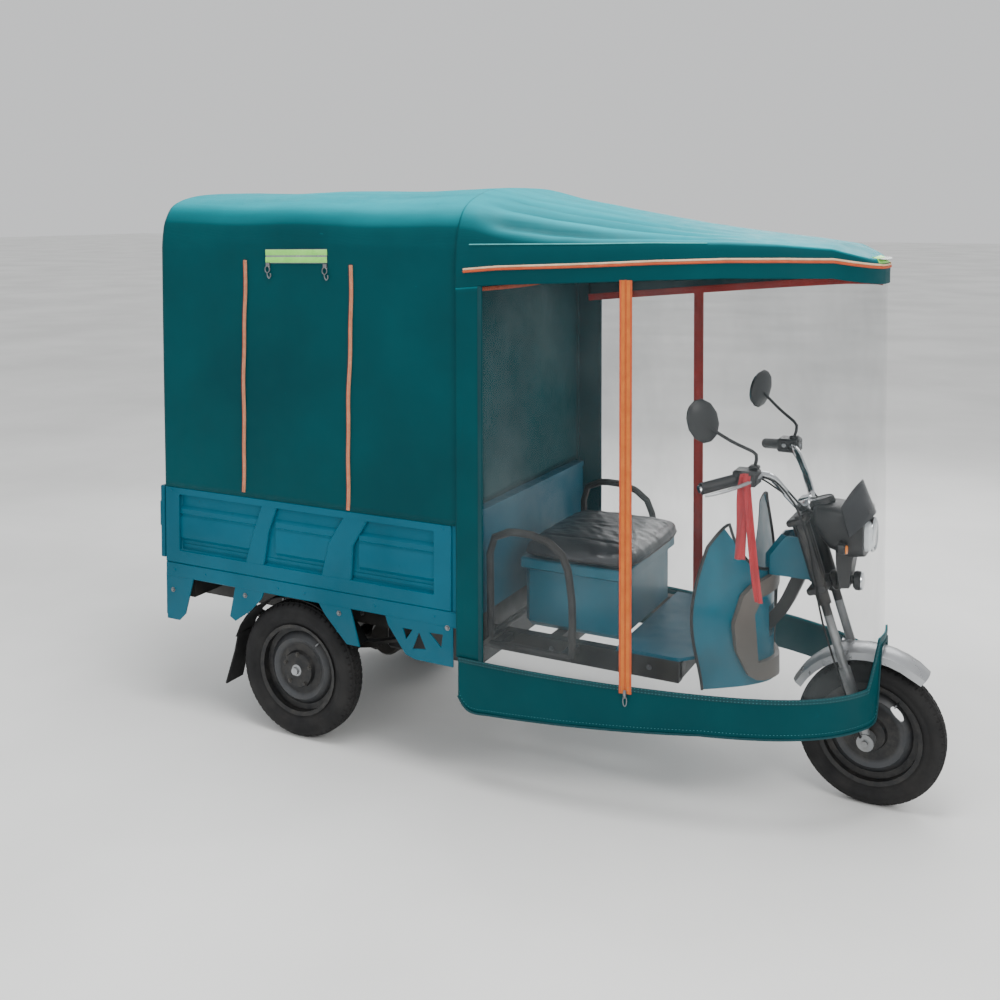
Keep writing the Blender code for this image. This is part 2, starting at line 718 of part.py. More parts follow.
def glass_low(t):
    """Lower edge of the clear film, higher over the front wheel."""
    level = GLASS_LOW - NOSE_DROP * min(1.0, (1 - abs(t)) / 0.85)
    rise = min(1.0, max(0.0, (2 * ARCH_T - abs(t)) / ARCH_T))
    return level + (ARCH_TOP + ARCH_BAND - level) * rise


def brow_low(t):
    return profile(plan(t).x, 1) - BROW


marks = [side * t for side in (-1, 1) for t in (ARCH_T, 1.5 * ARCH_T, FLAP_T, FLAP_T + 0.0005, WINDOW_REAR)]
marks += [ZIP_RIGHT - 0.0004, ZIP_RIGHT, ZIP_LEFT, ZIP_LEFT + 0.0004]
columns = sorted([t for t in spread(-1, 1, 30) if min(abs(t - mark) for mark in marks) > 0.012] + marks)
columns = [round(t, 6) for t in columns]


def strip_faces(work, low, high, choose, steps):
    """Faces between two height functions over the columns that are chosen."""
    used = [t for t in columns if choose(t)]
    grid = []
    for t in used:
        grid.append([work.verts.new(plan_at(t, low(t) + (high(t) - low(t)) * k / steps))
                     for k in range(steps + 1)])
    for a, b in zip(grid, grid[1:]):
        for k in range(steps):
            work.faces.new((a[k], b[k], b[k + 1], a[k + 1]))


def hung(work, name):
    """A thickened sheet from the faces, cut off at the cab's rear edge."""
    bmesh.ops.remove_doubles(work, verts=work.verts, dist=1e-5)
    mesh = bpy.data.meshes.new(name)
    work.to_mesh(mesh)
    work.free()
    obj = bpy.data.objects.new(name, mesh)
    bpy.context.scene.collection.objects.link(obj)
    behind = box((STRIP_REAR - 0.1, STRIP_REAR), (-0.7, 0.7), (0.1, 2.1))
    return joined([thickened(obj, FABRIC, -1)], [behind])


def cover():
    work = bmesh.new()
    strip_faces(work, hem_low, glass_low, lambda t: t <= -FLAP_T - 0.0004, 2)
    strip_faces(work, glass_low, lambda t: brow_low(t) - GAP, lambda t: t <= -WINDOW_REAR + 1e-6, 6)
    return hung(work, "cover")


both_sides("cab_cover", cover, CANVAS)

# Front flap that hangs over the wheel

def under_glass(t):
    return min(ARCH_TOP, glass_low(t) - 0.025)


flap = bmesh.new()
for side in (-1, 1):
    strip_faces(flap, hem_low, under_glass, lambda t: ARCH_T - 1e-6 <= side * t <= FLAP_T + 1e-6, 2)
strip_faces(flap, under_glass, glass_low, lambda t: abs(t) <= FLAP_T + 1e-6, 1)
node("front_flap", hung(flap, "flap"), CANVAS, angle=50)


# Clear windows, each a panel between the hem and the brow, lapped inside the fabric

def drawn_in(ts, z, depth):
    """Outline points at a height, moved inwards by the depth and mitred at each column."""
    result = []
    for t in ts:
        k = columns.index(t)
        before = plan_at(columns[max(k - 1, 0)], z(t))
        here = plan_at(t, z(t))
        after = plan_at(columns[min(k + 1, len(columns) - 1)], z(t))
        first = (here - before) if (here - before).length > 1e-6 else (after - here)
        second = (after - here) if (after - here).length > 1e-6 else (here - before)
        a = Vector((-first.y, first.x, 0)).normalized()
        b = Vector((-second.y, second.x, 0)).normalized()
        mitre = (a + b).normalized()
        result.append(here + mitre * (depth / max(0.5, mitre.dot(a))))
    return result


def window(low_t, high_t):
    used = [t for t in columns if low_t - 1e-6 <= t <= high_t + 1e-6]
    rows = []
    for k in range(4):
        def height(t, share=k / 3):
            return (glass_low(t) - LAP) * (1 - share) + (brow_low(t) + LAP) * share
        rows.append(drawn_in(used, height, FABRIC + 2 * GAP))
    return skin(rows, GLASS_T)


WINDOW_LAP = columns[columns.index(WINDOW_REAR) + 1]
node("window_rear_right", window(-WINDOW_LAP, ZIP_RIGHT - 0.0004), CLEAR_FILM, angle=50)
node("window_front", window(ZIP_RIGHT, ZIP_LEFT), CLEAR_FILM, angle=50)
node("window_rear_left", window(ZIP_LEFT + 0.0004, WINDOW_LAP), CLEAR_FILM, angle=50)


# Cab roof: brow all round, and cross sections that turn from an arch at the rear to a low tent at the nose

# Share of the half width and of the rise from crease to ridge: arched, then tented
SECTION = [
    (0.965, 0.33, 0.91, 0.22),
    (0.883, 0.63, 0.80, 0.45),
    (0.712, 0.835, 0.62, 0.70),
    (0.440, 0.975, 0.34, 0.92),
    (0.000, 1.000, 0.00, 1.00),
]


def roof_column(t, side):
    """Points from the brow's lower edge up and over to the ridge."""
    base = plan(t)
    piping = profile(base.x, 1)
    crease = profile(base.x, 2)
    ridge = profile(base.x, 3)
    arched = max(0.0, min(1.0, (1.40 - base.x) / 0.65))
    nose = max(0.0, (base.x - NOSE_X + NOSE_LEAN) / NOSE_LEAN)
    half = base.y * 0.985
    result = [Vector((base.x, base.y, z)) for z in (piping - BROW, piping - BROW / 2, piping)]
    result.append(Vector((base.x - 0.010 * nose, half, crease)))
    for arch_y, arch_z, tent_y, tent_z in SECTION:
        share = arch_y * arched + tent_y * (1 - arched)
        lift = arch_z * arched + tent_z * (1 - arched)
        result.append(Vector((base.x - (0.010 + 0.035 * lift) * nose, half * share,
                              crease + (ridge - crease) * lift)))
    return [Vector((p.x, p.y * side, p.z)) for p in result]


roof = bmesh.new()
for side in (1, -1):
    grid = [[roof.verts.new(p) for p in roof_column(t, side)] for t in columns if t <= 0]
    for a, b in zip(grid, grid[1:]):
        for k in range(len(a) - 1):
            roof.faces.new((a[k], b[k], b[k + 1], a[k + 1]))
node("cab_roof", hung(roof, "roof"), CANVAS, angle=50)


# Seat

node("seat_base", joined([
    box((SEAT_REAR + 0.01, SEAT_FRONT - 0.045), (-SEAT_HALF + 0.035, SEAT_HALF - 0.035),
        (RAIL_TOP + GAP, SEAT_LOW - GAP), 0.02),
    box((SEAT_REAR, SEAT_FRONT - 0.030), (-SEAT_HALF + 0.020, SEAT_HALF - 0.020),
        (SEAT_LOW - 0.04, SEAT_LOW - GAP), 0.006),
]), BRIGHT)
node("seat_cushion", box((SEAT_REAR, SEAT_FRONT), (-SEAT_HALF, SEAT_HALF), (SEAT_LOW, SEAT_TOP), 0.032, 3),
     BLACK, (SEAT_FRONT - 0.02, 0, SEAT_LOW))


def armrest():
    y = -0.400
    parts = [tube([(0.765, y, 0.480), (0.762, y, 0.835), (0.922, y, 0.851), (1.040, y, 0.800),
                   (1.069, y, 0.640),
                   (1.064, y, 0.455)], 0.0135, 8, 0.075),
             tube([(0.765, y, 0.455), (1.064, y, 0.455)], 0.0125, 8)]
    for x in (0.79, 1.04):
        parts.append(box((x - 0.015, x + 0.015), (y, -RAIL_Y - RAIL_W / 2 - GAP), (0.443, 0.467)))
    return joined(parts)


right_rest = armrest()
cross_z = RAIL_TOP + GAP + 0.0125
node("armrests", joined([mirrored(right_rest), right_rest,
                         tube([(0.765, -0.40, cross_z), (0.765, 0.40, cross_z)], 0.0125, 8)]), BLACK)

# Cab floor and leg shield

def shield_point(t, z):
    """Leg shield surface: t from -1 (right edge) to 1 (left edge)."""
    low = 0.350
    high = 0.915
    share = (z - low) / (high - low)
    half = 0.205 + 0.125 * sin(pi * min(1.0, share ** 1.25)) ** 1.2 + 0.085 * share
    front = HEAD_X - 0.089 - 0.015 * share
    edge = HEAD_X - 0.274 + 0.065 * share ** 2
    return Vector((front - (front - edge) * abs(t) ** 1.7, half * t, z))


front = [shield_point(k / 10, RAIL_TOP) for k in range(-9, 10)]
outline = [(SEAT_FRONT - 0.04, STEP_HALF), (SEAT_FRONT - 0.04, -STEP_HALF), (RAIL_FRONT, -STEP_HALF)]
outline += [(p.x - 0.018, p.y) for p in front] + [(RAIL_FRONT, STEP_HALF)]
node("footboard", joined([prism(outline, "z", RAIL_TOP + GAP, RAIL_TOP + 0.012)],
                         [box((HEAD_X - 0.249, HEAD_X - 0.019), (-0.032, 0.032), (0.4, 0.5))]), TEAL)

PEAK_T = 0.80
PANEL_T_END = 0.64
panel_ts = [PANEL_T_END * (k / 6 - 1) for k in range(13)]
rows = []
for t in [-1, -0.87] + panel_ts + [0.87, 1]:
    top = 0.725 + 0.190 * (abs(t) / PEAK_T) ** 2 if abs(t) < PEAK_T else 0.915 - 1.4 * (abs(t) - PEAK_T) ** 2
    rows.append([shield_point(t, 0.350 + (top - 0.350) * j / 12) for j in range(13)])
neck = []
NECK_HALF = 0.045
for z, back in ((0.712, 0.166), (0.775, 0.146), (0.848, 0.070)):
    x = axis_point(z).x
    neck.append([(x - ahead, y, z) for ahead, y in (
        (0.002, -NECK_HALF), (back - 0.020, -NECK_HALF), (back, -NECK_HALF + 0.020),
        (back, NECK_HALF - 0.020), (back - 0.020, NECK_HALF), (0.002, NECK_HALF))])
tab = [(HEAD_X - 0.229, 0.090), (HEAD_X - 0.229, 0.150)]
tab += [(shield_point(t, 0.485).x - 0.002, shield_point(t, 0.485).y) for t in (0.60, 0.47, 0.36)]
tab = prism(tab, "z", RAIL_TOP + 0.012 + GAP, RAIL_TOP + 0.018)
node("leg_shield", joined([skin(rows, 0.004, -1), skin(neck, 0.004, -1), mirrored(tab), tab],
                          [box((HEAD_X - 0.219, HEAD_X - 0.019), (-0.031, 0.031), (0.495, 0.598))]),
     BRIGHT, angle=60)

rows = []
for t in panel_ts:
    round_off = sqrt(max(0.0, 1 - (abs(t) / (PANEL_T_END + 0.01)) ** 6))
    low = 0.545 - 0.180 * round_off
    high = 0.545 + 0.165 * round_off
    column = []
    for j in range(9):
        p = shield_point(t, low + (high - low) * j / 8)
        q = shield_point(t + 0.01, p.z)
        ahead = Vector((q.y - p.y, -(q.x - p.x), 0)).normalized()
        column.append(p + ahead * GAP * 9)
    rows.append(column)
opening = prism([(-0.105, 0.43), (0.105, 0.43), (0.150, 0.605), (0.115, 0.655), (-0.115, 0.655),
                 (-0.150, 0.605)],
                "x", HEAD_X - 0.319, HEAD_X + 0.081)
node("shield_panel", joined([skin(rows, 0.016, 1)], [opening]), TAUPE, angle=50)

# Steering: fork, bars and what turns with them

LEG_X = HUB_LOCAL.x
HUB_Z = HUB_LOCAL.z
HEAD_HALF = 0.100
CLAMP_LOW = 0.126
HUB_LUG = 0.046
CROWN_REAR = 0.018
fork = []
for side in (-1, 1):
    y = side * FORK_Y
    leg = [tube([(LEG_X, y, HUB_Z - 0.015), (LEG_X, y, HUB_Z + 0.235)], 0.0200, 12),
           tube([(LEG_X, y, HUB_Z + 0.20), (LEG_X, y, HEAD_HALF + 0.030)], 0.0150, 12),
           tube([(LEG_X, y, -HEAD_HALF - 0.060), (LEG_X, y, HEAD_HALF + 0.002)], 0.0225, 12),
           disc((LEG_X, y, HUB_Z), 0.027, HUB_LUG, "y", 16)]
    fork += [moved(piece, STEER) for piece in leg]
for low, high in ((-HEAD_HALF - GAP - 0.024, -HEAD_HALF - GAP), (HEAD_HALF + GAP, HEAD_HALF + GAP + 0.022)):
    fork.append(moved(box((-CROWN_REAR, LEG_X + 0.024), (-FORK_Y - 0.024, FORK_Y + 0.024), (low, high),
                          0.006), STEER))
fork.append(disc((HUB.x, 0, HUB.z), 0.0085, 2 * (FORK_Y + 0.032), "y", 16))
fork.append(moved(box((0.012, 0.048), (-0.020, 0.020), (HEAD_HALF + 0.010, CLAMP_LOW - GAP), 0.004), STEER))
fork.append(moved(disc((LEG_X + 0.034, 0, -HEAD_HALF - 0.012), 0.033, 0.024, "x", 20, 0.006), STEER))
node("fork", joined(fork), SILVER, tuple(axis_point(0.80)))

bar_right = [(0.019, 0, 0.952), (0.019, -0.085, 0.952), (-0.014, -0.140, 1.010), (-0.051, -0.178, 1.070),
             (-0.077, -0.225, 1.088), (-0.115, -0.285, 1.084), (-0.227, -0.396, 1.058)]
bar_right = [(HEAD_X + x, y, z) for x, y, z in bar_right]
line = [(x, y, z) for x, y, z in reversed(bar_right)] + [(x, -y, z) for x, y, z in bar_right[1:]]
BAR_R = 0.0125
clamp = [moved(box((0.018, 0.062), (-0.034, 0.034), (CLAMP_LOW, CLAMP_LOW + 0.046), 0.006), STEER)]
node("handlebar", joined([tube(line, BAR_R, 10, 0.03)] + clamp), CHROME, tuple(axis_point(0.80)))


def grip():
    a = Vector(bar_right[-2])
    b = Vector(bar_right[-1])
    along = (b - a).normalized()
    bore = BAR_R + 2 * GAP
    sleeve = [(bore, 0.0), (0.0185, 0.0), (0.0185, 0.120), (bore, 0.120)]
    turn = along.to_track_quat("Z", "Y").to_matrix().to_4x4()
    tube_part = moved(turned(sleeve, (0, 0, 0), "z", 16), Matrix.Translation(a + along * 0.031) @ turn)
    switch = joined([box((HEAD_X - 0.145, HEAD_X - 0.069), (-0.316, -0.244), (1.062, 1.110), 0.006)],
                    [tube(line, BAR_R + 2 * GAP, 10, 0.03)])
    return joined([tube_part, switch])


both_sides("grip", grip, BLACK)


def mirror(centre, yaw, lean):
    """Mirror head on a cranked stem; yaw and lean are in degrees."""
    x, y, z = centre
    stem = tube([(HEAD_X - 0.087, -0.262, 1.116), (HEAD_X - 0.075, -0.270, 1.160),
                 (x + 0.075, y + 0.040, z - 0.062), (x + 0.008, y + 0.004, z - 0.012)], 0.0055, 8, 0.03)
    clip = box((HEAD_X - 0.103, HEAD_X - 0.071), (-0.282, -0.250), (1.110 + GAP, 1.122), 0.004)
    head = moved(ball((0, 0, 0), (0.017, 0.057, 0.074), 6, 14),
                 Matrix.Translation(centre) @ Matrix.Rotation(radians(yaw), 4, "Z")
                 @ Matrix.Rotation(radians(lean), 4, "X"))
    return joined([clip, stem, head])


def block(rings, sides=20, power=0.55):
    """A solid lofted along X from (x, z, half width, half height) with rounded-square rings."""
    loops = []
    for x, z, half, tall in rings:
        loop = []
        for k in range(sides):
            a = 2 * pi * k / sides
            c = cos(a)
            d = sin(a)
            loop.append((x, half * abs(c) ** power * (1 if c >= 0 else -1),
                         z + tall * abs(d) ** power * (1 if d >= 0 else -1)))
        loops.append(loop)
    return lofted(loops)


POD_FRONT = HEAD_X + POD_REACH
LENS_Z = 0.876
HORN_X = POD_FRONT - 0.028
HORN_Z = 0.722


def signal():
    x = POD_FRONT - 0.058
    return joined([disc((x, -0.130, 0.852), 0.017, 0.030, "x", 16, 0.006),
                   tube([(x - 0.008, -0.130, 0.852), (x - 0.010, -0.100, 0.866)], 0.006, 10)])


crown_front = LEG_X + 0.024
right_signal = signal()
node("lamp_housing", joined([
    block([(POD_FRONT - 0.166, 0.932, 0.050, 0.026), (POD_FRONT - 0.150, 0.920, 0.080, 0.048),
           (POD_FRONT - 0.105, 0.898, 0.098, 0.072), (POD_FRONT - 0.040, 0.886, 0.104, 0.080),
           (POD_FRONT, 0.880, 0.092, 0.068)]),
    lofted([[(POD_FRONT - back, -half, z), (POD_FRONT - front, -half * 0.7, z),
             (POD_FRONT - front, half * 0.7, z), (POD_FRONT - back, half, z)]
            for back, front, half, z in ((0.089, 0.029, 0.074, 0.850), (0.088, 0.042, 0.068, 0.780),
                                         (0.078, 0.052, 0.052, 0.700))]),
    disc((HORN_X, -0.010, HORN_Z), 0.031, 0.026, "x", 16, 0.006),
    box((HORN_X - 0.038, HORN_X - 0.008), (-0.022, 0.002), (HORN_Z - 0.010, HORN_Z + 0.010)),
    moved(box((crown_front + GAP, crown_front + 0.050), (-0.035, 0.035),
              (HEAD_HALF + 0.004, HEAD_HALF + 0.018)), STEER),
    mirrored(right_signal),
    right_signal,
]), BLACK, tuple(axis_point(0.80)))
node("headlamp", block([(POD_FRONT + GAP, LENS_Z, 0.070, 0.050), (POD_FRONT + 0.014, LENS_Z, 0.068, 0.048),
                        (POD_FRONT + 0.024, LENS_Z, 0.050, 0.034)]), LENS,
     tuple(axis_point(0.80)))

rows = []
for k in range(11):
    t = -1 + k / 5
    top = 1.050 - 0.066 * abs(t) ** 2.4
    low = 0.945 - 0.045 * t * t
    column = []
    for j in range(5):
        z = low + (top - low) * j / 4
        column.append((POD_FRONT + 0.030 - 0.40 * (z - 0.93) - 0.070 * t * t,
                       0.146 * t * (1 - 0.30 * (z - 0.93) / 0.11), z))
    rows.append(column)
foot = box((POD_FRONT + GAP, POD_FRONT + 0.013), (-0.05, 0.05), (0.930, 0.965))
node("windscreen", joined([skin(rows, 0.003, -1), foot]), SMOKE, tuple(axis_point(0.80)))


node("mirror_right", mirror((HEAD_X - 0.222, -0.372, 1.268), -38, 26), BLACK)
left_mirror = moved(mirror((HEAD_X - 0.229, -0.350, 1.268), 20, 38), Matrix.Diagonal((1, -1, 1, 1)))
left_mirror.data.flip_normals()
node("mirror_left", left_mirror, BLACK)

# Brake cable from the right lever down the fork leg to the front drum
CABLE_R = 0.0035
cable_y = -(FORK_Y + HUB_LUG / 2 + CABLE_R + GAP)
cable = [(-0.069 + CABLE_R, -0.262, 1.088), (-0.019, -0.262, 1.078), (0.026, -0.200, 1.000),
         (0.051, cable_y - 0.004, 0.860), (0.067, cable_y - 0.002, 0.740), (0.093, cable_y, 0.600),
         (0.153, cable_y, 0.420), (0.216, cable_y, 0.250)]
cable = [(HEAD_X + x, y, z) for x, y, z in cable]
node("brake_cable", tube(cable, CABLE_R, 6, 0.06), RUBBER, tuple(axis_point(0.80)))

# Front mudguard over the tyre, held by a stay to each fork leg

GUARD_R = FRONT_R + 0.034
GUARD_SECTION = [(-0.058, 0.034), (-0.054, 0.012), (-0.036, 0.002), (0.0, 0.0), (0.036, 0.002),
                 (0.054, 0.012), (0.058, 0.034)]
rows = []
for k in range(13):
    a = radians(50 + 100 * k / 12)
    row = []
    for y, fall in GUARD_SECTION:
        r = GUARD_R - fall + 0.014
        row.append((HUB.x + r * cos(a), y * (0.80 if k == 0 else 1.0), HUB.z + r * sin(a)))
    rows.append(row)
guard = [skin(rows, 0.0025, -1)]
for side in (-1, 1):
    a = radians(109)
    r = GUARD_R + 0.004
    x = HUB.x + r * cos(a)
    z = HUB.z + r * sin(a)
    reach = sorted((side * 0.050, side * (FORK_Y - 0.0150 - GAP)))
    guard.append(box((x - 0.016, x + 0.016), reach, (z - 0.016, z + 0.006)))
node("mudguard_front", joined(guard), SILVER, tuple(axis_point(0.80)))


# Wheels

def tyre(radius, width, centre, name):
    """Tyre section turned about the axle; the tread blocks are left to the visual model."""
    half = width / 2
    bead = BEAD_W / 2
    low = BEAD_R + GAP
    side = [(low, bead * 0.9), (low + 0.002, bead), (low + 0.014, bead + 0.003),
            (low + 0.030, half - 0.004), (low + 0.045, half),
            (radius - 0.020, half - 0.003), (radius - 0.008, half - 0.012), (radius - 0.002, half * 0.45)]
    profile = side + [(radius, 0.0)] + [(r, -h) for r, h in reversed(side)]
    return node(name, turned(profile, centre, "y", WHEEL_STEPS), RUBBER, centre, 50)


def rim(centre, out, drum, hub_r, reach, inner_reach):
    """Pressed wheel with a drum; out is -1 where the dished face looks to the right."""
    bead = BEAD_W / 2 + 0.0035
    lip = bead + FLANGE_T
    profile = [
        (0, reach), (0.013, reach), (0.014, reach - 0.012), (0.036, 0.034), (hub_r, 0.032),
        (hub_r + 0.006, 0.018), (0.092, 0.014), (0.112, 0.024), (0.134, 0.004), (0.1525, 0.008),
        (0.1525, lip - 0.004), (FLANGE_R, lip), (FLANGE_R, bead), (BEAD_R, bead), (BEAD_R, -bead),
        (FLANGE_R, -bead), (FLANGE_R, -lip), (0.1525, -lip + 0.004), (0.1525, -0.002), (0.134, -0.004),
        (0.110, 0.014), (0.092, 0.004), (drum, 0.002), (drum, -inner_reach), (0, -inner_reach),
    ]
    return turned([(r, h * out) for r, h in profile], centre, "y", WHEEL_STEPS)


for side, word in ((-1, "right"), (1, "left")):
    centre = (0, side * HALF_TRACK, REAR_R)
    tyre(REAR_R, REAR_W, centre, "tyre_rear_" + word)
    node("rim_rear_" + word, rim(centre, side, 0.078, 0.062, 0.052, RIM_IN), RIM, centre)
tyre(FRONT_R, FRONT_W, tuple(HUB), "tyre_front")
front_rim = rim(tuple(HUB), -1, 0.070, 0.050, 0.050, 0.046)
axle_hole = disc(tuple(HUB), 0.0085 + GAP, 0.3, "y", 16)
slot = moved(disc((0, 0, 0), 0.016, 0.2, "y", 20),
             Matrix.Translation(HUB + Vector((cos(radians(42)) * 0.113, 0, sin(radians(42)) * 0.113)))
             @ Matrix.Rotation(radians(-42), 4, "Y") @ Matrix.Diagonal((0.75, 1, 1.7, 1)))
node("rim_front", joined([front_rim], [axle_hole, slot]), RIM, tuple(HUB))

for obj in made:
    obj.location.x += SHIFT
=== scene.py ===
from math import cos, pi, radians, sin

import bmesh
import bpy
from mathutils import Matrix, Vector, noise


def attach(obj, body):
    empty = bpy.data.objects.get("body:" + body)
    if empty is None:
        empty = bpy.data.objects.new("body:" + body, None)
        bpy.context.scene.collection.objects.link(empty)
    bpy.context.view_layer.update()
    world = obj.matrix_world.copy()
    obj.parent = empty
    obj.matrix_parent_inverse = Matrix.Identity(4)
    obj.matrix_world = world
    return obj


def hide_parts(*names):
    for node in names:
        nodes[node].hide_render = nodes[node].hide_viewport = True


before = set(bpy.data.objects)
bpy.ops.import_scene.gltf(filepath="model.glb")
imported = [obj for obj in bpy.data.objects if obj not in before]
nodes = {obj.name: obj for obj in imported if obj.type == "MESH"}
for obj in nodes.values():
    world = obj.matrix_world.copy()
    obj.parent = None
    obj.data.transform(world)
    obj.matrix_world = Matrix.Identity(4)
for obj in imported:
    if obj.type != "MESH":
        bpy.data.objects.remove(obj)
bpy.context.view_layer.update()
scene = bpy.context.scene
print("frame loaded")

shiftX = -0.7665  # shapes are laid out from the rear axle, as in the CAD, and moved by this

# Camera and light

cameraSetup = {
    "eye": (1.8315, -3.856, 1.936),
    "aim": (-0.1275, 0.0, 1.791),
    "roll": radians(-0.08),
    "lens": 41.98,
    "shift": (-0.0107, -0.2546),
}


def makeCamera(setup):
    data = bpy.data.cameras.new("photoCamera")
    data.sensor_width = 36
    data.lens = setup["lens"]
    data.shift_x, data.shift_y = setup["shift"]
    camera = bpy.data.objects.new("photoCamera", data)
    scene.collection.objects.link(camera)
    ahead = (Vector(setup["aim"]) - Vector(setup["eye"])).normalized()
    right = ahead.cross(Vector((0, 0, 1))).normalized()
    up = right.cross(ahead)
    c, s = cos(setup["roll"]), sin(setup["roll"])
    turned = Matrix((right * c + up * s, up * c - right * s, -ahead)).transposed().to_4x4()
    camera.matrix_world = Matrix.Translation(setup["eye"]) @ turned
    scene.camera = camera


makeCamera(cameraSetup)

lightSetup = [
    # name, place, aim, size, power, colour
    ("topLight", (0.3, -0.5, 4.8), (0.0, 0.0, 1.2), 3.0, 230, (1.0, 1.0, 1.0)),
    ("frontLight", (3.8, -2.4, 3.0), (0.3, 0.0, 1.0), 2.0, 62, (1.0, 0.985, 0.96)),
    ("sideLight", (-1.6, -4.6, 2.4), (-0.2, 0.0, 0.9), 2.6, 26, (0.96, 0.98, 1.0)),
    ("farLight", (0.6, 4.4, 3.0), (0.2, 0.0, 1.0), 3.0, 75, (1.0, 1.0, 1.0)),
]
for name, place, aim, size, power, colour in lightSetup:
    lamp = bpy.data.lights.new(name, "AREA")
    lamp.shape = "DISK"
    lamp.size = size
    lamp.energy = power
    lamp.color = colour
    lampObject = bpy.data.objects.new(name, lamp)
    lampObject.location = place
    lampObject.rotation_euler = (Vector(aim) - Vector(place)).to_track_quat("-Z", "Y").to_euler()
    scene.collection.objects.link(lampObject)

world = bpy.data.worlds.new("studio")
world.use_nodes = True
world.node_tree.nodes["Background"].inputs[0].default_value = (0.96, 0.97, 0.98, 1)
world.node_tree.nodes["Background"].inputs[1].default_value = 0.85
scene.world = world
print("camera and lights made")

# Finishes


def toLinear(r, g, b):
    return tuple(c / 255 / 12.92 if c <= 10 else ((c / 255 + 0.055) / 1.055) ** 2.4 for c in (r, g, b))


class NodeBench:
    # puts and links the shader nodes of one material
    def __init__(self, name):
        self.material = bpy.data.materials.new(name)
        self.material.use_nodes = True
        self.tree = self.material.node_tree
        self.shader = self.tree.nodes["Principled BSDF"]
        self.place = self.put("ShaderNodeTexCoord").outputs["Object"]

    def put(self, kind, inputs=None, **settings):
        node = self.tree.nodes.new(kind)
        for key, value in settings.items():
            setattr(node, key, value)
        for key, value in (inputs or {}).items():
            if hasattr(value, "is_output"):
                self.tree.links.new(value, node.inputs[key])
            else:
                node.inputs[key].default_value = value
        return node

    def noise(self, scale, detail=3.0, rough=0.5, stretch=None):
        place = self.place
        if stretch:
            place = self.put("ShaderNodeMapping", {"Vector": place, "Scale": stretch}).outputs[0]
        return self.put("ShaderNodeTexNoise", {"Vector": place, "Scale": scale, "Detail": detail,
                                               "Roughness": rough}).outputs["Fac"]

    def fit(self, value, low, high, toLow=0.0, toHigh=1.0):
        return self.put("ShaderNodeMapRange", {"Value": value, "From Min": low, "From Max": high,
                                               "To Min": toLow, "To Max": toHigh}).outputs[0]

    def calc(self, operation, a, b=0.0):
        return self.put("ShaderNodeMath", {0: a, 1: b}, operation=operation).outputs[0]

    def mix(self, share, first, second):
        node = self.put("ShaderNodeMix", data_type="RGBA")
        for key, value in ((0, share), (6, first), (7, second)):
            if hasattr(value, "is_output"):
                self.tree.links.new(value, node.inputs[key])
            else:
                node.inputs[key].default_value = (*value, 1) if key else value
        return node.outputs[2]

    def link(self, value, socket):
        self.tree.links.new(value, self.shader.inputs[socket])

    def upness(self, *span):
        # how far a surface looks up, fitted to a span
        facing = self.put("ShaderNodeNewGeometry").outputs["Normal"]
        return self.fit(self.put("ShaderNodeSeparateXYZ", {0: facing}).outputs["Z"], *span)

    def relief(self, height, strength, distance):
        bump = self.put("ShaderNodeBump", {"Height": height, "Strength": strength, "Distance": distance})
        self.link(bump.outputs[0], "Normal")


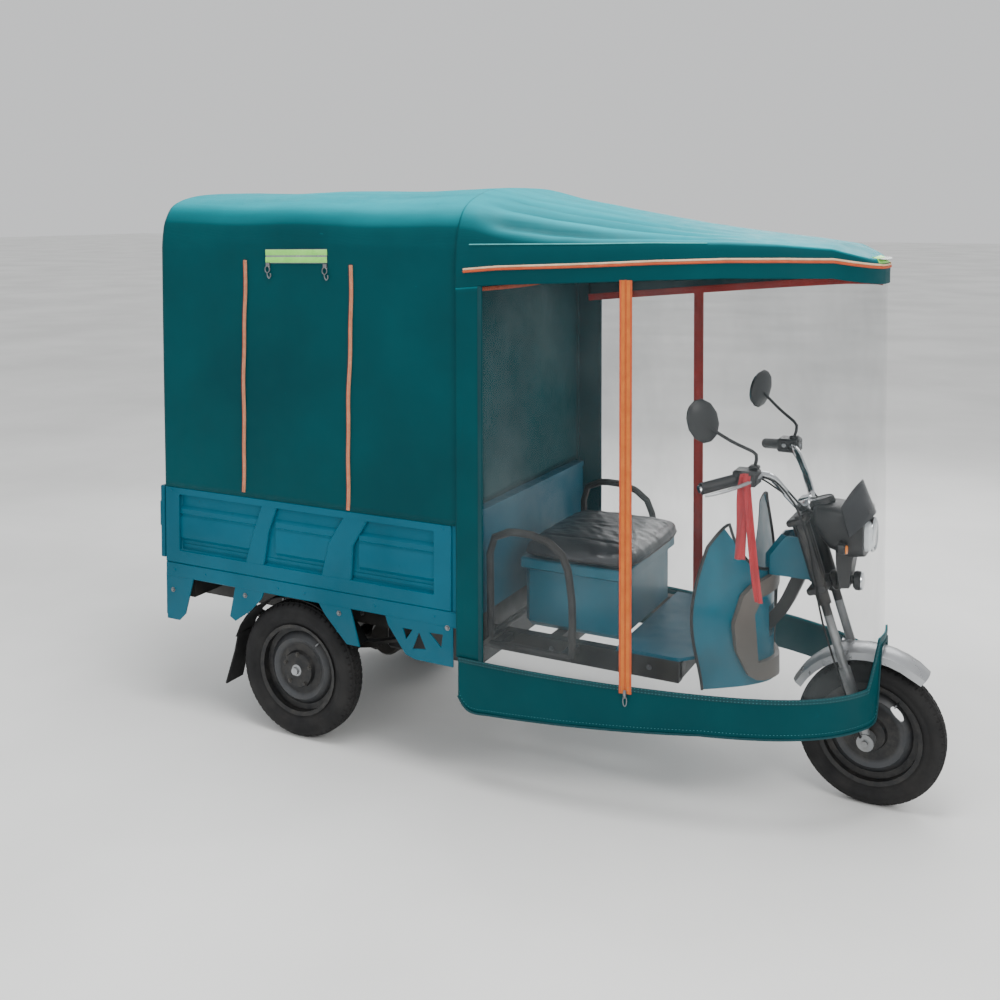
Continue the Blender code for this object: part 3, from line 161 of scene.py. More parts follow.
def surface(name, look):
    # a finish with patches, dust, uneven gloss and a fine relief, and where asked a painted top highlight and
    # painted fold shade; look says how much of each
    bench = NodeBench(name)
    shader = bench.shader
    shader.inputs["Metallic"].default_value = look.get("metal", 0.0)
    shader.inputs["Specular IOR Level"].default_value = look.get("specular", 0.5)
    if "sheen" in look:
        shader.inputs["Sheen Weight"].default_value = look["sheen"]
        shader.inputs["Sheen Roughness"].default_value = 0.4
    if "coat" in look:
        shader.inputs["Coat Weight"].default_value = look["coat"]
        shader.inputs["Coat Roughness"].default_value = look.get("coatRough", 0.12)
    base = toLinear(*look["base"])
    patches = bench.noise(1 / look.get("patch", 0.12), 4)
    colour = bench.mix(bench.fit(patches, 0.35, 0.65), base, toLinear(*look["second"]))
    # painted highlight: faces that look up are painted a lighter cyan, broken into lengthwise streaks, for
    # the light falling on the top
    if "topHighlight" in look:
        upwardLit = bench.upness(0.35, 0.97)
        highlightStreaks = bench.fit(bench.noise(5, 5, rough=0.6, stretch=(0.3, 2.6, 1.0)), 0.3, 0.7, 0.6, 1.0)
        colour = bench.mix(bench.calc("MULTIPLY", upwardLit, highlightStreaks), colour, toLinear(*look["topHighlight"]))
        # painted shade: in the roof's fold valleys the lighter top is painted back to the darker base
        paintedFoldShade = bench.put("ShaderNodeAttribute", attribute_name="paintedFoldShade").outputs["Fac"]
        colour = bench.mix(bench.calc("MULTIPLY", paintedFoldShade, 0.8), colour, base)
    if "worn" in look:
        wornColour, wornShare = look["worn"]
        marks = bench.noise(look.get("wornScale", 60), 6, rough=0.7)
        marks = bench.fit(marks, 0.72 - wornShare, 0.78 - wornShare)
        colour = bench.mix(marks, colour, toLinear(*wornColour))
    if "dust" in look:
        dustColour, dustShare, dustTop = look["dust"]
        height = bench.put("ShaderNodeSeparateXYZ", {0: bench.place}).outputs["Z"]
        low = bench.fit(height, dustTop, 0.05, 0.15, 1.0)
        upward = bench.upness(-0.2, 1.0, 0.5, 1.0)
        cloud = bench.fit(bench.noise(9, 6, rough=0.65), 0.36, 0.72)
        dusty = bench.calc("MULTIPLY", cloud, dustShare)
        share = bench.calc("MULTIPLY", bench.calc("MULTIPLY", low, upward), dusty)
        colour = bench.mix(share, colour, toLinear(*dustColour))
    bench.link(colour, "Base Color")
    low, high = look["rough"]
    bench.link(bench.fit(bench.noise(22, 4), 0.3, 0.7, low, high), "Roughness")
    height = bench.calc("MULTIPLY", bench.noise(look.get("grainScale", 420), 2), look.get("grain", 0.3))
    if "weave" in look:
        pitch, depth = look["weave"]
        for direction in ("X", "Y", "Z"):
            thread = bench.put("ShaderNodeTexWave", {"Vector": bench.place, "Scale": 0.314 / pitch,
                                                     "Distortion": 0.4, "Detail Scale": 3.0},
                               wave_type="BANDS", bands_direction=direction).outputs["Fac"]
            height = bench.calc("ADD", height, bench.calc("MULTIPLY", thread, depth))
    if "crumple" in look:
        scale, depth = look["crumple"]
        soft = bench.noise(scale, 3, stretch=look.get("crumpleStretch"))
        height = bench.calc("ADD", height, bench.calc("MULTIPLY", soft, depth))
    bench.relief(height, look["bump"], look.get("bumpDistance", 0.002))
    if "alpha" in look:
        thin, thick = look["alpha"]
        haze = bench.noise(3.2, 5, rough=0.6, stretch=look.get("hazeStretch"))
        bench.link(bench.fit(haze, 0.38, 0.72, thin, thick), "Alpha")
    return bench.material


dustGrey = (120, 116, 108)  # all colours in the tables are 0 to 255
looks = {
    # canvas: its upward faces get a painted top highlight and its fold valleys painted shade
    "canvas": {"base": (0, 72, 78), "second": (0, 62, 68), "patch": 0.5, "rough": (0.42, 0.58),
               "specular": 0.09, "weave": (0.0022, 0.5), "grain": 0.35, "bump": 0.16,
               "topHighlight": (0, 150, 162), "worn": ((0, 88, 96), 0.04), "wornScale": 40, "crumple": (7.0, 2.2),
               "bumpDistance": 0.0022},
    "canvasPlain": {"base": (0, 62, 68), "second": (0, 52, 58), "patch": 0.3, "rough": (0.46, 0.6),
                    "specular": 0.25, "weave": (0.0022, 0.5), "bump": 0.14},
    # painted highlight: the lighter teal below colours the cord along the roof crease
    "creaseHighlight": {"base": (70, 170, 172), "second": (50, 150, 152), "rough": (0.5, 0.6),
                   "weave": (0.0018, 0.5), "bump": 0.2, "patch": 0.05},
    "tealPaint": {"base": (0, 92, 114), "second": (0, 82, 102), "patch": 0.3, "rough": (0.34, 0.5),
                  "specular": 0.2, "grainScale": 160, "grain": 0.5, "bump": 0.08,
                  "worn": ((20, 52, 58), 0.045), "wornScale": 46, "dust": (dustGrey, 0.16, 0.62)},
    "brightPlastic": {"base": (0, 106, 128), "second": (0, 94, 114), "patch": 0.2, "rough": (0.3, 0.4),
                      "specular": 0.3, "coat": 0.08, "grain": 0.2, "bump": 0.06,
                      "dust": (dustGrey, 0.1, 0.6)},
    "blackPaint": {"base": (26, 26, 27), "second": (34, 33, 32), "rough": (0.4, 0.6), "metal": 0.1,
                   "bump": 0.15, "worn": ((82, 70, 60), 0.06), "dust": (dustGrey, 0.6, 0.7)},
    "blackPlastic": {"base": (24, 25, 27), "second": (30, 31, 33), "rough": (0.38, 0.52), "grainScale": 700,
                     "bump": 0.14, "dust": (dustGrey, 0.12, 1.2)},
    "rubber": {"base": (20, 20, 22), "second": (26, 26, 27), "rough": (0.62, 0.8), "grainScale": 380,
               "specular": 0.3, "bump": 0.2, "dust": ((92, 88, 82), 0.22, 0.5)},
    "chrome": {"base": (214, 216, 218), "second": (200, 203, 206), "rough": (0.08, 0.2), "metal": 1.0,
               "bump": 0.03, "worn": ((128, 124, 118), 0.03)},
    "silverPaint": {"base": (176, 178, 180), "second": (160, 162, 165), "rough": (0.24, 0.4), "metal": 0.7,
                    "bump": 0.05, "worn": ((110, 108, 105), 0.04), "dust": (dustGrey, 0.3, 0.6)},
    "steel": {"base": (140, 142, 144), "second": (120, 121, 124), "rough": (0.3, 0.5), "metal": 0.9,
              "bump": 0.1, "worn": ((104, 84, 66), 0.06)},
    "taupe": {"base": (106, 99, 93), "second": (94, 88, 82), "rough": (0.42, 0.56), "grainScale": 600,
              "bump": 0.16, "dust": (dustGrey, 0.3, 0.8)},
    "smoke": {"base": (28, 30, 34), "second": (36, 38, 42), "rough": (0.08, 0.22), "bump": 0.02,
              "coat": 0.3, "alpha": (0.8, 0.92)},
    "lens": {"base": (225, 230, 232), "second": (205, 212, 216), "rough": (0.05, 0.12), "coat": 0.6,
             "bump": 0.05, "patch": 0.02},
    "film": {"base": (128, 136, 138), "second": (96, 104, 108), "patch": 0.2, "rough": (0.06, 0.18),
             "grain": 0.0, "bump": 0.35, "bumpDistance": 0.004, "crumple": (7.0, 2.0),
             "crumpleStretch": (1.0, 1.0, 0.45), "alpha": (0.03, 0.12), "hazeStretch": (1.0, 1.0, 0.5)},
    "vinyl": {"base": (34, 36, 39), "second": (48, 50, 54), "rough": (0.34, 0.5), "grainScale": 260,
              "grain": 0.4, "bump": 0.3, "coat": 0.35, "coatRough": 0.22, "crumple": (26.0, 2.0)},
    "orangeTape": {"base": (206, 112, 34), "second": (192, 98, 26), "rough": (0.6, 0.75), "sheen": 0.2,
                   "weave": (0.0016, 0.6), "bump": 0.3, "patch": 0.04},
    "redTape": {"base": (196, 48, 36), "second": (176, 40, 30), "rough": (0.6, 0.75), "sheen": 0.2,
                "weave": (0.0016, 0.6), "bump": 0.3, "patch": 0.04},
    "creamCord": {"base": (222, 186, 150), "second": (206, 168, 132), "rough": (0.6, 0.7),
                  "weave": (0.002, 0.8), "bump": 0.3, "patch": 0.03},
    "orangeCord": {"base": (200, 82, 34), "second": (182, 70, 28), "rough": (0.6, 0.7),
                   "weave": (0.002, 0.8), "bump": 0.3, "patch": 0.03},
    "paleGreen": {"base": (150, 232, 108), "second": (134, 220, 96), "rough": (0.3, 0.45),
                  "weave": (0.0016, 0.5), "bump": 0.25, "patch": 0.03},
    "greyTape": {"base": (150, 154, 152), "second": (132, 138, 138), "rough": (0.22, 0.4), "metal": 0.4,
                 "weave": (0.0016, 0.6), "bump": 0.3, "patch": 0.03},
    "ribbonRed": {"base": (186, 44, 52), "second": (168, 34, 42), "rough": (0.5, 0.65), "sheen": 0.3,
                  "weave": (0.0012, 0.6), "bump": 0.3, "patch": 0.05},
    "mirrorGlass": {"base": (205, 212, 218), "second": (198, 206, 212), "rough": (0.03, 0.07), "metal": 1.0,
                    "grain": 0.0, "bump": 0.01},
    "amber": {"base": (226, 128, 24), "second": (214, 112, 16), "rough": (0.12, 0.22), "coat": 0.5,
              "bump": 0.05},
    "redLens": {"base": (170, 20, 18), "second": (150, 14, 14), "rough": (0.12, 0.22), "coat": 0.5,
                "bump": 0.05},
    "thread": {"base": (60, 140, 146), "second": (48, 124, 130), "rough": (0.6, 0.7), "bump": 0.1},
}
finishes = {name: surface(name, look) for name, look in looks.items()}


def rimFinish(name, centre, hubRadius):
    # pressed steel: dark dish, a lighter ring where the paint catches light, dust in the hollows
    bench = NodeBench(name)
    local = bench.put("ShaderNodeVectorMath", {0: bench.place, 1: centre}, operation="SUBTRACT").outputs[0]
    parts = bench.put("ShaderNodeSeparateXYZ", {0: local}).outputs
    flatLocal = bench.put("ShaderNodeCombineXYZ", {"X": parts["X"], "Z": parts["Z"]}).outputs[0]
    radius = bench.put("ShaderNodeVectorMath", {0: flatLocal}, operation="LENGTH").outputs["Value"]
    ring = bench.calc("MULTIPLY", bench.fit(radius, 0.088, 0.100), bench.fit(radius, 0.136, 0.122))
    hub = bench.fit(radius, hubRadius, hubRadius - 0.003)
    colour = bench.mix(ring, toLinear(24, 25, 27), toLinear(62, 64, 67))
    colour = bench.mix(hub, colour, toLinear(168, 170, 172))
    cloud = bench.fit(bench.noise(26, 6, rough=0.7), 0.42, 0.74)
    colour = bench.mix(bench.calc("MULTIPLY", cloud, 0.35), colour, toLinear(84, 80, 74))
    bench.link(colour, "Base Color")
    bench.link(bench.fit(bench.noise(40), 0.3, 0.7, 0.34, 0.56), "Roughness")
    bench.link(bench.fit(hub, 0, 1, 0.25, 0.85), "Metallic")
    bench.relief(bench.noise(300, 2), 0.12, 0.001)
    return bench.material


rake = radians(17.5)  # of the steering axis
steerTop = Vector((1.719 + 0.08 * sin(rake) / cos(rake) + shiftX, 0, 0.80))
steerDown = Vector((sin(rake), 0, -cos(rake)))


def forkFinish(name, sleeveEnd):
    # black sleeves on the upper legs, bare grey sliders below
    bench = NodeBench(name)
    local = bench.put("ShaderNodeVectorMath", {0: bench.place, 1: steerTop}, operation="SUBTRACT").outputs[0]
    down = bench.put("ShaderNodeVectorMath", {0: local, 1: steerDown}, operation="DOT_PRODUCT")
    share = bench.fit(down.outputs["Value"], sleeveEnd, sleeveEnd + 0.001)
    patches = bench.fit(bench.noise(14, 4), 0.35, 0.65)
    grey = bench.mix(patches, toLinear(150, 152, 153), toLinear(126, 128, 130))
    colour = bench.mix(share, toLinear(26, 27, 29), grey)
    dirt = bench.calc("MULTIPLY", bench.fit(bench.noise(30, 6, rough=0.7), 0.45, 0.75), 0.5)
    bench.link(bench.mix(dirt, colour, toLinear(92, 86, 78)), "Base Color")
    bench.link(bench.fit(share, 0, 1, 0.1, 0.75), "Metallic")
    bench.link(bench.fit(bench.noise(34), 0.3, 0.7, 0.28, 0.48), "Roughness")
    bench.relief(bench.noise(260, 2), 0.12, 0.001)
    return bench.material


nodeFinish = {
    "blackPaint": ("armrests", "leaf_spring_left", "leaf_spring_right", "main_frame", "rear_axle"),
    "blackPlastic": ("battery_box", "grip_left", "grip_right", "lamp_housing", "mirror_left",
                     "mirror_right"),
    "canvas": ("bed_canopy", "cab_cover_left", "cab_cover_right", "cab_roof", "front_curtain", "front_flap",
               "rear_curtain"),
    "tealPaint": ("bed_tub", "footboard", "side_panel_left", "side_panel_right", "tailgate"),
    "rubber": ("brake_cable", "mudguard_rear_left", "mudguard_rear_right", "tyre_front", "tyre_rear_left",
               "tyre_rear_right"),
    "steel": ("canopy_frame",),
    "chrome": ("handlebar",),
    "lens": ("headlamp",),
    "brightPlastic": ("leg_shield", "seat_base"),
    "silverPaint": ("mudguard_front",),
    "vinyl": ("seat_cushion",),
    "taupe": ("shield_panel",),
    "film": ("window_front", "window_rear_left", "window_rear_right"),
    "smoke": ("windscreen",),
}
wheels = {
    # centre from the rear axle, radius, width, bright hub, body, side that the dish faces
    "front": {"centre": (1.948, 0.0, 0.234), "radius": 0.234, "width": 0.080, "hub": 0.012,
              "body": "front_wheel", "out": -1},
    "rear_right": {"centre": (0, -0.432, 0.247), "radius": 0.247, "width": 0.090, "hub": 0.022,
                   "body": "rear_wheel_right", "out": -1},
    "rear_left": {"centre": (0, 0.432, 0.247), "radius": 0.247, "width": 0.090, "hub": 0.022,
                  "body": "rear_wheel_left", "out": 1},
}


def paint(node, material):
    node.data.materials.clear()
    node.data.materials.append(material)


for finish, names in nodeFinish.items():
    for name in names:
        paint(nodes[name], finishes[finish])


def newTree(name, inputs):
    # an empty Geometry Nodes tree with named inputs, its two ends, and the identifiers of the inputs
    tree = bpy.data.node_groups.new(name, "GeometryNodeTree")
    face = tree.interface
    face.new_socket("Geometry", in_out="INPUT", socket_type="NodeSocketGeometry")
    sockets = {label: face.new_socket(label, in_out="INPUT", socket_type="NodeSocket" + kind).identifier
               for label, kind in inputs.items()}
    face.new_socket("Geometry", in_out="OUTPUT", socket_type="NodeSocketGeometry")
    return tree, sockets, tree.nodes.new("NodeGroupInput"), tree.nodes.new("NodeGroupOutput")


def smoothTree():
    # Geometry Nodes: joins the split faces of a CAD solid and rounds the shading below an angle
    tree, sockets, start, end = newTree("smoothByAngle", {"Angle": "Float"})
    put, join = tree.nodes.new, tree.links.new
    merge = put("GeometryNodeMergeByDistance")
    merge.inputs["Distance"].default_value = 0.00002
    smooth = put("GeometryNodeSetShadeSmooth")
    sharp = put("GeometryNodeSetShadeSmooth")
    sharp.domain = "EDGE"
    sharp.inputs["Shade Smooth"].default_value = False
    bend = put("GeometryNodeInputMeshEdgeAngle")
    more = put("FunctionNodeCompare")
    join(start.outputs["Geometry"], merge.inputs["Geometry"])
    join(merge.outputs[0], smooth.inputs["Geometry"])
    join(smooth.outputs[0], sharp.inputs["Geometry"])
    join(bend.outputs["Unsigned Angle"], more.inputs[0])
    join(start.outputs["Angle"], more.inputs[1])
    join(more.outputs[0], sharp.inputs["Selection"])
    join(sharp.outputs[0], end.inputs[0])
    return tree, sockets["Angle"]


smoothing, angleSocket = smoothTree()
for node in nodes.values():
    for name in ("custom_normal", "sharp_edge", "sharp_face"):
        if name in node.data.attributes:
            node.data.attributes.remove(node.data.attributes[name])
    smoothNode = node.modifiers.new("Smooth shading", "NODES")
    smoothNode.node_group = smoothing
    smoothNode[angleSocket] = radians(36)
for name, wheel in wheels.items():
    x, y, z = wheel["centre"]
    paint(nodes["rim_" + name], rimFinish("rim_" + name, (x + shiftX, y, z), wheel["hub"]))
paint(nodes["fork"], forkFinish("fork", 0.195))
print("finishes made")

# Shape helpers

bothSides = ((-1, "Right"), (1, "Left"))


def angles(count):
    return [2 * pi * k / count for k in range(count)]


def spread(first, last, steps):
    return [first + (last - first) * k / steps for k in range(steps + 1)]


def addPiece(name, points, faces, finish, body, smooth=38, uvs=None):
    # a finished mesh in place, outward faces, riding on its body
    mesh = bpy.data.meshes.new(name)
    mesh.from_pydata([(p[0] + shiftX, p[1], p[2]) for p in points], [], faces)
    if uvs:
        layer = mesh.uv_layers.new(name="UVMap")
        for loop in mesh.loops:
            layer.data[loop.index].uv = uvs[loop.vertex_index]
    piece = bpy.data.objects.new(name, mesh)
    scene.collection.objects.link(piece)
    mesh.materials.append(finishes[finish] if isinstance(finish, str) else finish)
    mesh.shade_smooth()
    mesh.set_sharp_from_angle(angle=radians(smooth))
    if body:
        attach(piece, body)
    return piece


def closeUp(piece):
    # merges doubles and turns the faces outwards
    work = bmesh.new()
    work.from_mesh(piece.data)
    bmesh.ops.remove_doubles(work, verts=work.verts, dist=1e-5)
    bmesh.ops.recalc_face_normals(work, faces=work.faces)
    if work.calc_volume(signed=True) < 0:
        bmesh.ops.reverse_faces(work, faces=work.faces)
    work.to_mesh(piece.data)
    work.free()
    return piece


def gridFaces(rows, columns, wrap=False):
    faces = []
    for i in range(rows - 1):
        for j in range(columns if wrap else columns - 1):
            a = i * columns + j
            b = i * columns + (j + 1) % columns
            faces.append((a, b, b + columns, a + columns))
    return faces


def clothPiece(name, rows, thick, finish, body, inside):
    # a sheet from rows of points, thickened inwards; inside is a point that the sheet looks away from
    columns = len(rows[0])
    points = [p for row in rows for p in row]
    uvs = [(j / (columns - 1), i / (len(rows) - 1)) for i in range(len(rows)) for j in range(columns)]
    piece = addPiece(name, points, gridFaces(len(rows), columns), finish, None, 50, uvs)
    middle = Vector((inside[0] + shiftX, inside[1], inside[2]))
    outward = sum(poly.normal.dot(poly.center - middle) * poly.area for poly in piece.data.polygons)
    if outward < 0:
        piece.data.flip_normals()
    area = sum(poly.area for poly in piece.data.polygons)
    wall = piece.modifiers.new("Wall", "SOLIDIFY")
    wall.thickness = thick
    wall.offset = -1
    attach(piece, body)
    piece["clothArea"] = area
    return piece


def tubePiece(name, path, radius, finish, body, sides=10, closed=False):
    path = [Vector(p) for p in path]
    count = len(path)
    points = []
    across = None
    for k, p in enumerate(path):
        if closed:
            ahead = (path[(k + 1) % count] - path[k - 1]).normalized()
        else:
            ahead = (path[min(k + 1, count - 1)] - path[max(k - 1, 0)]).normalized()
        if across is None:
            guide = Vector((0, 0, 1)) if abs(ahead.z) < 0.9 else Vector((0, 1, 0))
            across = ahead.cross(guide)
        across = (across - ahead * across.dot(ahead)).normalized()
        lift = across.cross(ahead)
        thin = radius(k / (count - 1)) if callable(radius) else radius
        points += [p + across * thin * cos(a) + lift * thin * sin(a) for a in angles(sides)]
    faces = gridFaces(count, sides, True)
    if closed:
        faces += [((count - 1) * sides + j, (count - 1) * sides + (j + 1) % sides, (j + 1) % sides, j)
                  for j in range(sides)]
    else:
        faces += [tuple(range(sides)), tuple(range(count * sides - 1, (count - 1) * sides - 1, -1))]
    return closeUp(addPiece(name, points, faces, finish, body))


def stripPiece(name, path, outs, width, thick, finish, body):
    # a flat strip laid on a surface: outs are the surface's normals along the path
    path = [Vector(p) for p in path]
    points = []
    for k, (p, out) in enumerate(zip(path, outs)):
        ahead = (path[min(k + 1, len(path) - 1)] - path[max(k - 1, 0)]).normalized()
        out = (Vector(out) - ahead * Vector(out).dot(ahead)).normalized()
        side = ahead.cross(out)
        for across, high in ((-1, 0.0), (-1, 0.7), (-0.8, 1.0), (0.8, 1.0), (1, 0.7), (1, 0.0)):
            points.append(p + side * across * width / 2 + out * (thick * high))
    count = len(path)
    faces = gridFaces(count, 6, True) + [tuple(range(6)), tuple(range(count * 6 - 1, count * 6 - 7, -1))]
    return closeUp(addPiece(name, points, faces, finish, body))


def curveThrough(values, steps):
    # a smooth line through the given points
    values = [Vector(v) for v in values]
    result = []
    for k in range(len(values) - 1):
        a = values[max(k - 1, 0)]
        b, c = values[k], values[k + 1]
        d = values[min(k + 2, len(values) - 1)]
        for j in range(steps):
            t = j / steps
            result.append(0.5 * ((2 * b) + (c - a) * t + (2 * a - 5 * b + 4 * c - d) * t * t
                                 + (3 * b - a - 3 * c + d) * t ** 3))
    result.append(values[-1])
    return result


def turnedPiece(name, profile, centre, axis, finish, body, steps=32):
    # a profile of (radius, offset) pairs turned about an axis
    axis = Vector(axis).normalized()
    turn = axis.to_track_quat("Z", "X").to_matrix()
    points = []
    for a in angles(steps):
        points += [Vector(centre) + turn @ Vector((r * cos(a), r * sin(a), h)) for r, h in profile]
    n = len(profile)
    faces = []
    for k in range(steps):
        m = (k + 1) % steps
        faces += [(k * n + i, k * n + i + 1, m * n + i + 1, m * n + i) for i in range(n - 1)]
    return closeUp(addPiece(name, points, faces, finish, body))


def unionOf(name, pieces, body):
    # several small pieces kept as one object
    work = bmesh.new()
    finish = pieces[0].data.materials[0]
    for piece in pieces:
        work.from_mesh(piece.data)
        bpy.data.objects.remove(piece, do_unlink=True)
    mesh = bpy.data.meshes.new(name)
    work.to_mesh(mesh)
    work.free()
    mesh.materials.append(finish)
    joined = bpy.data.objects.new(name, mesh)
    scene.collection.objects.link(joined)
    mesh.set_sharp_from_angle(angle=radians(38))
    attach(joined, body)
    return joined


def repeatTree(name, alongPath):
    # Geometry Nodes: copies of a small piece along a path, or on each point, turned to the surface
    tree, sockets, start, end = newTree(name, {"Pitch": "Float", "Piece": "Object", "Finish": "Material"})
    put, join = tree.nodes.new, tree.links.new
    points = start.outputs["Geometry"]
    alongOut = put("GeometryNodeInputNamedAttribute")
    alongOut.data_type = "FLOAT_VECTOR"
    alongOut.inputs["Name"].default_value = "out"
    spin = put("FunctionNodeAlignEulerToVector")
    spin.axis = "Z"
    join(alongOut.outputs[0], spin.inputs["Vector"])
    turned = spin.outputs[0]
    if alongPath:
        curve = put("GeometryNodeMeshToCurve")
        join(points, curve.inputs["Mesh"])
        even = put("GeometryNodeResampleCurve")
        even.mode = "LENGTH"
        join(curve.outputs[0], even.inputs["Curve"])
        join(start.outputs["Pitch"], even.inputs["Length"])
        points = even.outputs[0]
        tangent = put("GeometryNodeInputTangent")
        follow = put("FunctionNodeAlignEulerToVector")
        follow.axis = "X"
        follow.pivot_axis = "Z"
        join(turned, follow.inputs["Rotation"])
        join(tangent.outputs[0], follow.inputs["Vector"])
        turned = follow.outputs[0]
    source = put("GeometryNodeObjectInfo")
    join(start.outputs["Piece"], source.inputs["Object"])
    place = put("GeometryNodeInstanceOnPoints")
    join(points, place.inputs["Points"])
    join(source.outputs["Geometry"], place.inputs["Instance"])
    join(turned, place.inputs["Rotation"])
    real = put("GeometryNodeRealizeInstances")
    join(place.outputs[0], real.inputs[0])
    paint = put("GeometryNodeSetMaterial")
    join(real.outputs[0], paint.inputs["Geometry"])
    join(start.outputs["Finish"], paint.inputs["Material"])
    join(paint.outputs[0], end.inputs[0])
    return tree, sockets


pathTree = repeatTree("repeatAlongPath", True)
pointTree = repeatTree("repeatOnPoints", False)


def repeated(name, paths, small, finish, body, pitch=0.0):
    # paths: lists of (point, out); small: the mesh object that is repeated
    points, edges, outs = [], [], []
    for path in paths:
        base = len(points)
        points += [(p[0] + shiftX, p[1], p[2]) for p, out in path]
        outs += [tuple(out) for p, out in path]
        if pitch:
            edges += [(base + k, base + k + 1) for k in range(len(path) - 1)]
    mesh = bpy.data.meshes.new(name)
    mesh.from_pydata(points, edges, [])
    store = mesh.attributes.new("out", "FLOAT_VECTOR", "POINT")
    store.data.foreach_set("vector", [c for out in outs for c in out])
    piece = bpy.data.objects.new(name, mesh)
    scene.collection.objects.link(piece)
    tree, sockets = pathTree if pitch else pointTree
    repeat = piece.modifiers.new("Repeat", "NODES")
    repeat.node_group = tree
    repeat[sockets["Pitch"]] = pitch
    repeat[sockets["Piece"]] = small
    repeat[sockets["Finish"]] = finishes[finish]
    bpy.context.view_layer.update()
    made = bpy.data.meshes.new_from_object(piece.evaluated_get(bpy.context.evaluated_depsgraph_get()))
    piece.modifiers.clear()
    piece.data = made
    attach(piece, body)
    return piece


def smallShape(name, profile, steps, scale=(1, 1, 1)):
    # a little turned shape about Z, kept aside as a pattern for the repeats
    piece = turnedPiece(name, profile, (-shiftX, 0, 0), (0, 0, 1), "steel", None, steps)
    piece.data.transform(Matrix.Diagonal((*scale, 1)))
    scene.collection.objects.unlink(piece)
    return piece


boltHead = smallShape("boltHead", [(0, 0.0062), (0.0052, 0.0062), (0.0062, 0.005), (0.0062, 0.0012),
                                   (0.010, 0.0012), (0.010, -0.001), (0, -0.001)], 6)
rivetHead = smallShape("rivetHead", [(0, 0.0026), (0.0028, 0.0022), (0.0048, 0.0008), (0.005, -0.0005),
                                     (0, -0.0005)], 10)
stitch = smallShape("stitch", [(0, 0.0007), (0.0006, 0.0004), (0.0007, -0.0003), (0, -0.0003)], 6,
                    (3.4, 1, 1))
tooth = smallShape("tooth", [(0, 0.0012), (0.0012, 0.0010), (0.0014, -0.0006), (0, -0.0006)], 6,
                   (0.9, 2.6, 1))
print("helpers ready")

# Outlines of the covers, as in the CAD

cover = {"stripRear": 0.700, "bendX": 0.810, "noseX": 1.992, "half": 0.512, "taper": 0.44, "straight": 0.09,
         "hemLow": 0.246, "hemRise": 0.052, "glassLow": 0.433, "noseDrop": 0.012, "brow": 0.055,
         "archT": 0.066667, "archTop": 0.532, "archBand": 0.032, "windowRear": 0.924, "zip": 0.673,
         "farZip": 0.711, "fabric": 0.004}
heights = [
    # x, piping, crease, ridge
    (0.700, 1.722, 1.810, 2.003), (0.850, 1.736, 1.813, 1.970), (1.150, 1.750, 1.818, 1.918),
    (1.366, 1.762, 1.823, 1.882), (1.574, 1.770, 1.823, 1.852), (1.740, 1.771, 1.815, 1.831),
    (1.870, 1.769, 1.803, 1.815), (1.985, 1.745, 1.765, 1.778),
]


def heightAt(x, column):
    x = min(max(x, heights[0][0]), heights[-1][0])
    for k in range(len(heights) - 1):
        if x <= heights[k + 1][0]:
            before, after = heights[k], heights[k + 1]
            share = (x - before[0]) / (after[0] - before[0])
            return before[column] + (after[column] - before[column]) * share
    return heights[-1][column]


def clamp(value, low=0.0, high=1.0):
    return max(low, min(high, value))


def ease(value):
    value = clamp(value)
    return value * value * (3 - 2 * value)


def planAt(t):
    a = 1 - abs(t)
    if a <= cover["straight"]:
        x = cover["stripRear"] + (cover["bendX"] - cover["stripRear"]) * a / cover["straight"]
        half = cover["half"]
    else:
        along = sin((a - cover["straight"]) / (1 - cover["straight"]) * pi / 2)
        x = cover["bendX"] + (cover["noseX"] - cover["bendX"]) * along
        nose = max(0.0, 1 - along ** 9) ** 0.5
        half = cover["half"] * (1 - cover["taper"] * along ** 1.9) * nose if t else 0.0
    return x, (-half if t < 0 else half)


def hemLow(t):
    t = abs(t)
    near = max(0.0, 1 - (t - cover["archT"]) / 0.07)
    rear = max(0.0, (t - 0.93) / 0.07)
    climb = min(1.0, (1 - t) / 0.454)
    return cover["hemLow"] + cover["hemRise"] * climb + 0.020 * min(1.0, near) ** 2 + 0.02 * rear ** 2


def glassLow(t):
    level = cover["glassLow"] - cover["noseDrop"] * min(1.0, (1 - abs(t)) / 0.85)
    rise = clamp((2 * cover["archT"] - abs(t)) / cover["archT"])
    return level + (cover["archTop"] + cover["archBand"] - level) * rise


def browLow(t):
    return heightAt(planAt(t)[0], 1) - cover["brow"]


def coverOut(t):
    x1, y1 = planAt(clamp(t - 0.004, -1.02, 1.02))
    x2, y2 = planAt(clamp(t + 0.004, -1.02, 1.02))
    return Vector((y2 - y1, -(x2 - x1), 0)).normalized()


def coverPoint(t, z, out=0.0):
    x, y = planAt(t)
    n = coverOut(t)
    return Vector((x + n.x * out, y + n.y * out, z))


def soft(p, scale, seed=0.0):
    return noise.noise(Vector((p[0] * scale[0] + seed, p[1] * scale[1] + seed * 1.7, p[2] * scale[2] - seed)))


def mirrored(half):
    # the half line from right to the middle, and on to the left
    return half + [Vector((p.x, -p.y, p.z)) for p in reversed(half[:-1])]


# even spacing along the outline, denser round the nose
outlineT = [-(1 - k / 150) for k in range(140)] + [-0.0667 * (1 - k / 24) for k in range(25)]
outlineT = outlineT + [-t for t in reversed(outlineT[:-1])]

# Cab roof: one sheet from the right brow over the ridge to the left brow

section = [(0.965, 0.33, 0.91, 0.22), (0.883, 0.63, 0.80, 0.45), (0.712, 0.835, 0.62, 0.70),
           (0.440, 0.975, 0.34, 0.92), (0.000, 1.000, 0.00, 1.00)]
roofCloth = {"sag": 0.004, "fold": 0.0030, "creaseSteps": 5, "tension": 0.016,
             # place across the half width, width of the fold, depth share
             "folds": ((0.90, 0.055, 1.0), (0.75, 0.060, 0.8), (0.60, 0.055, 0.55), (0.40, 0.07, 0.4))}


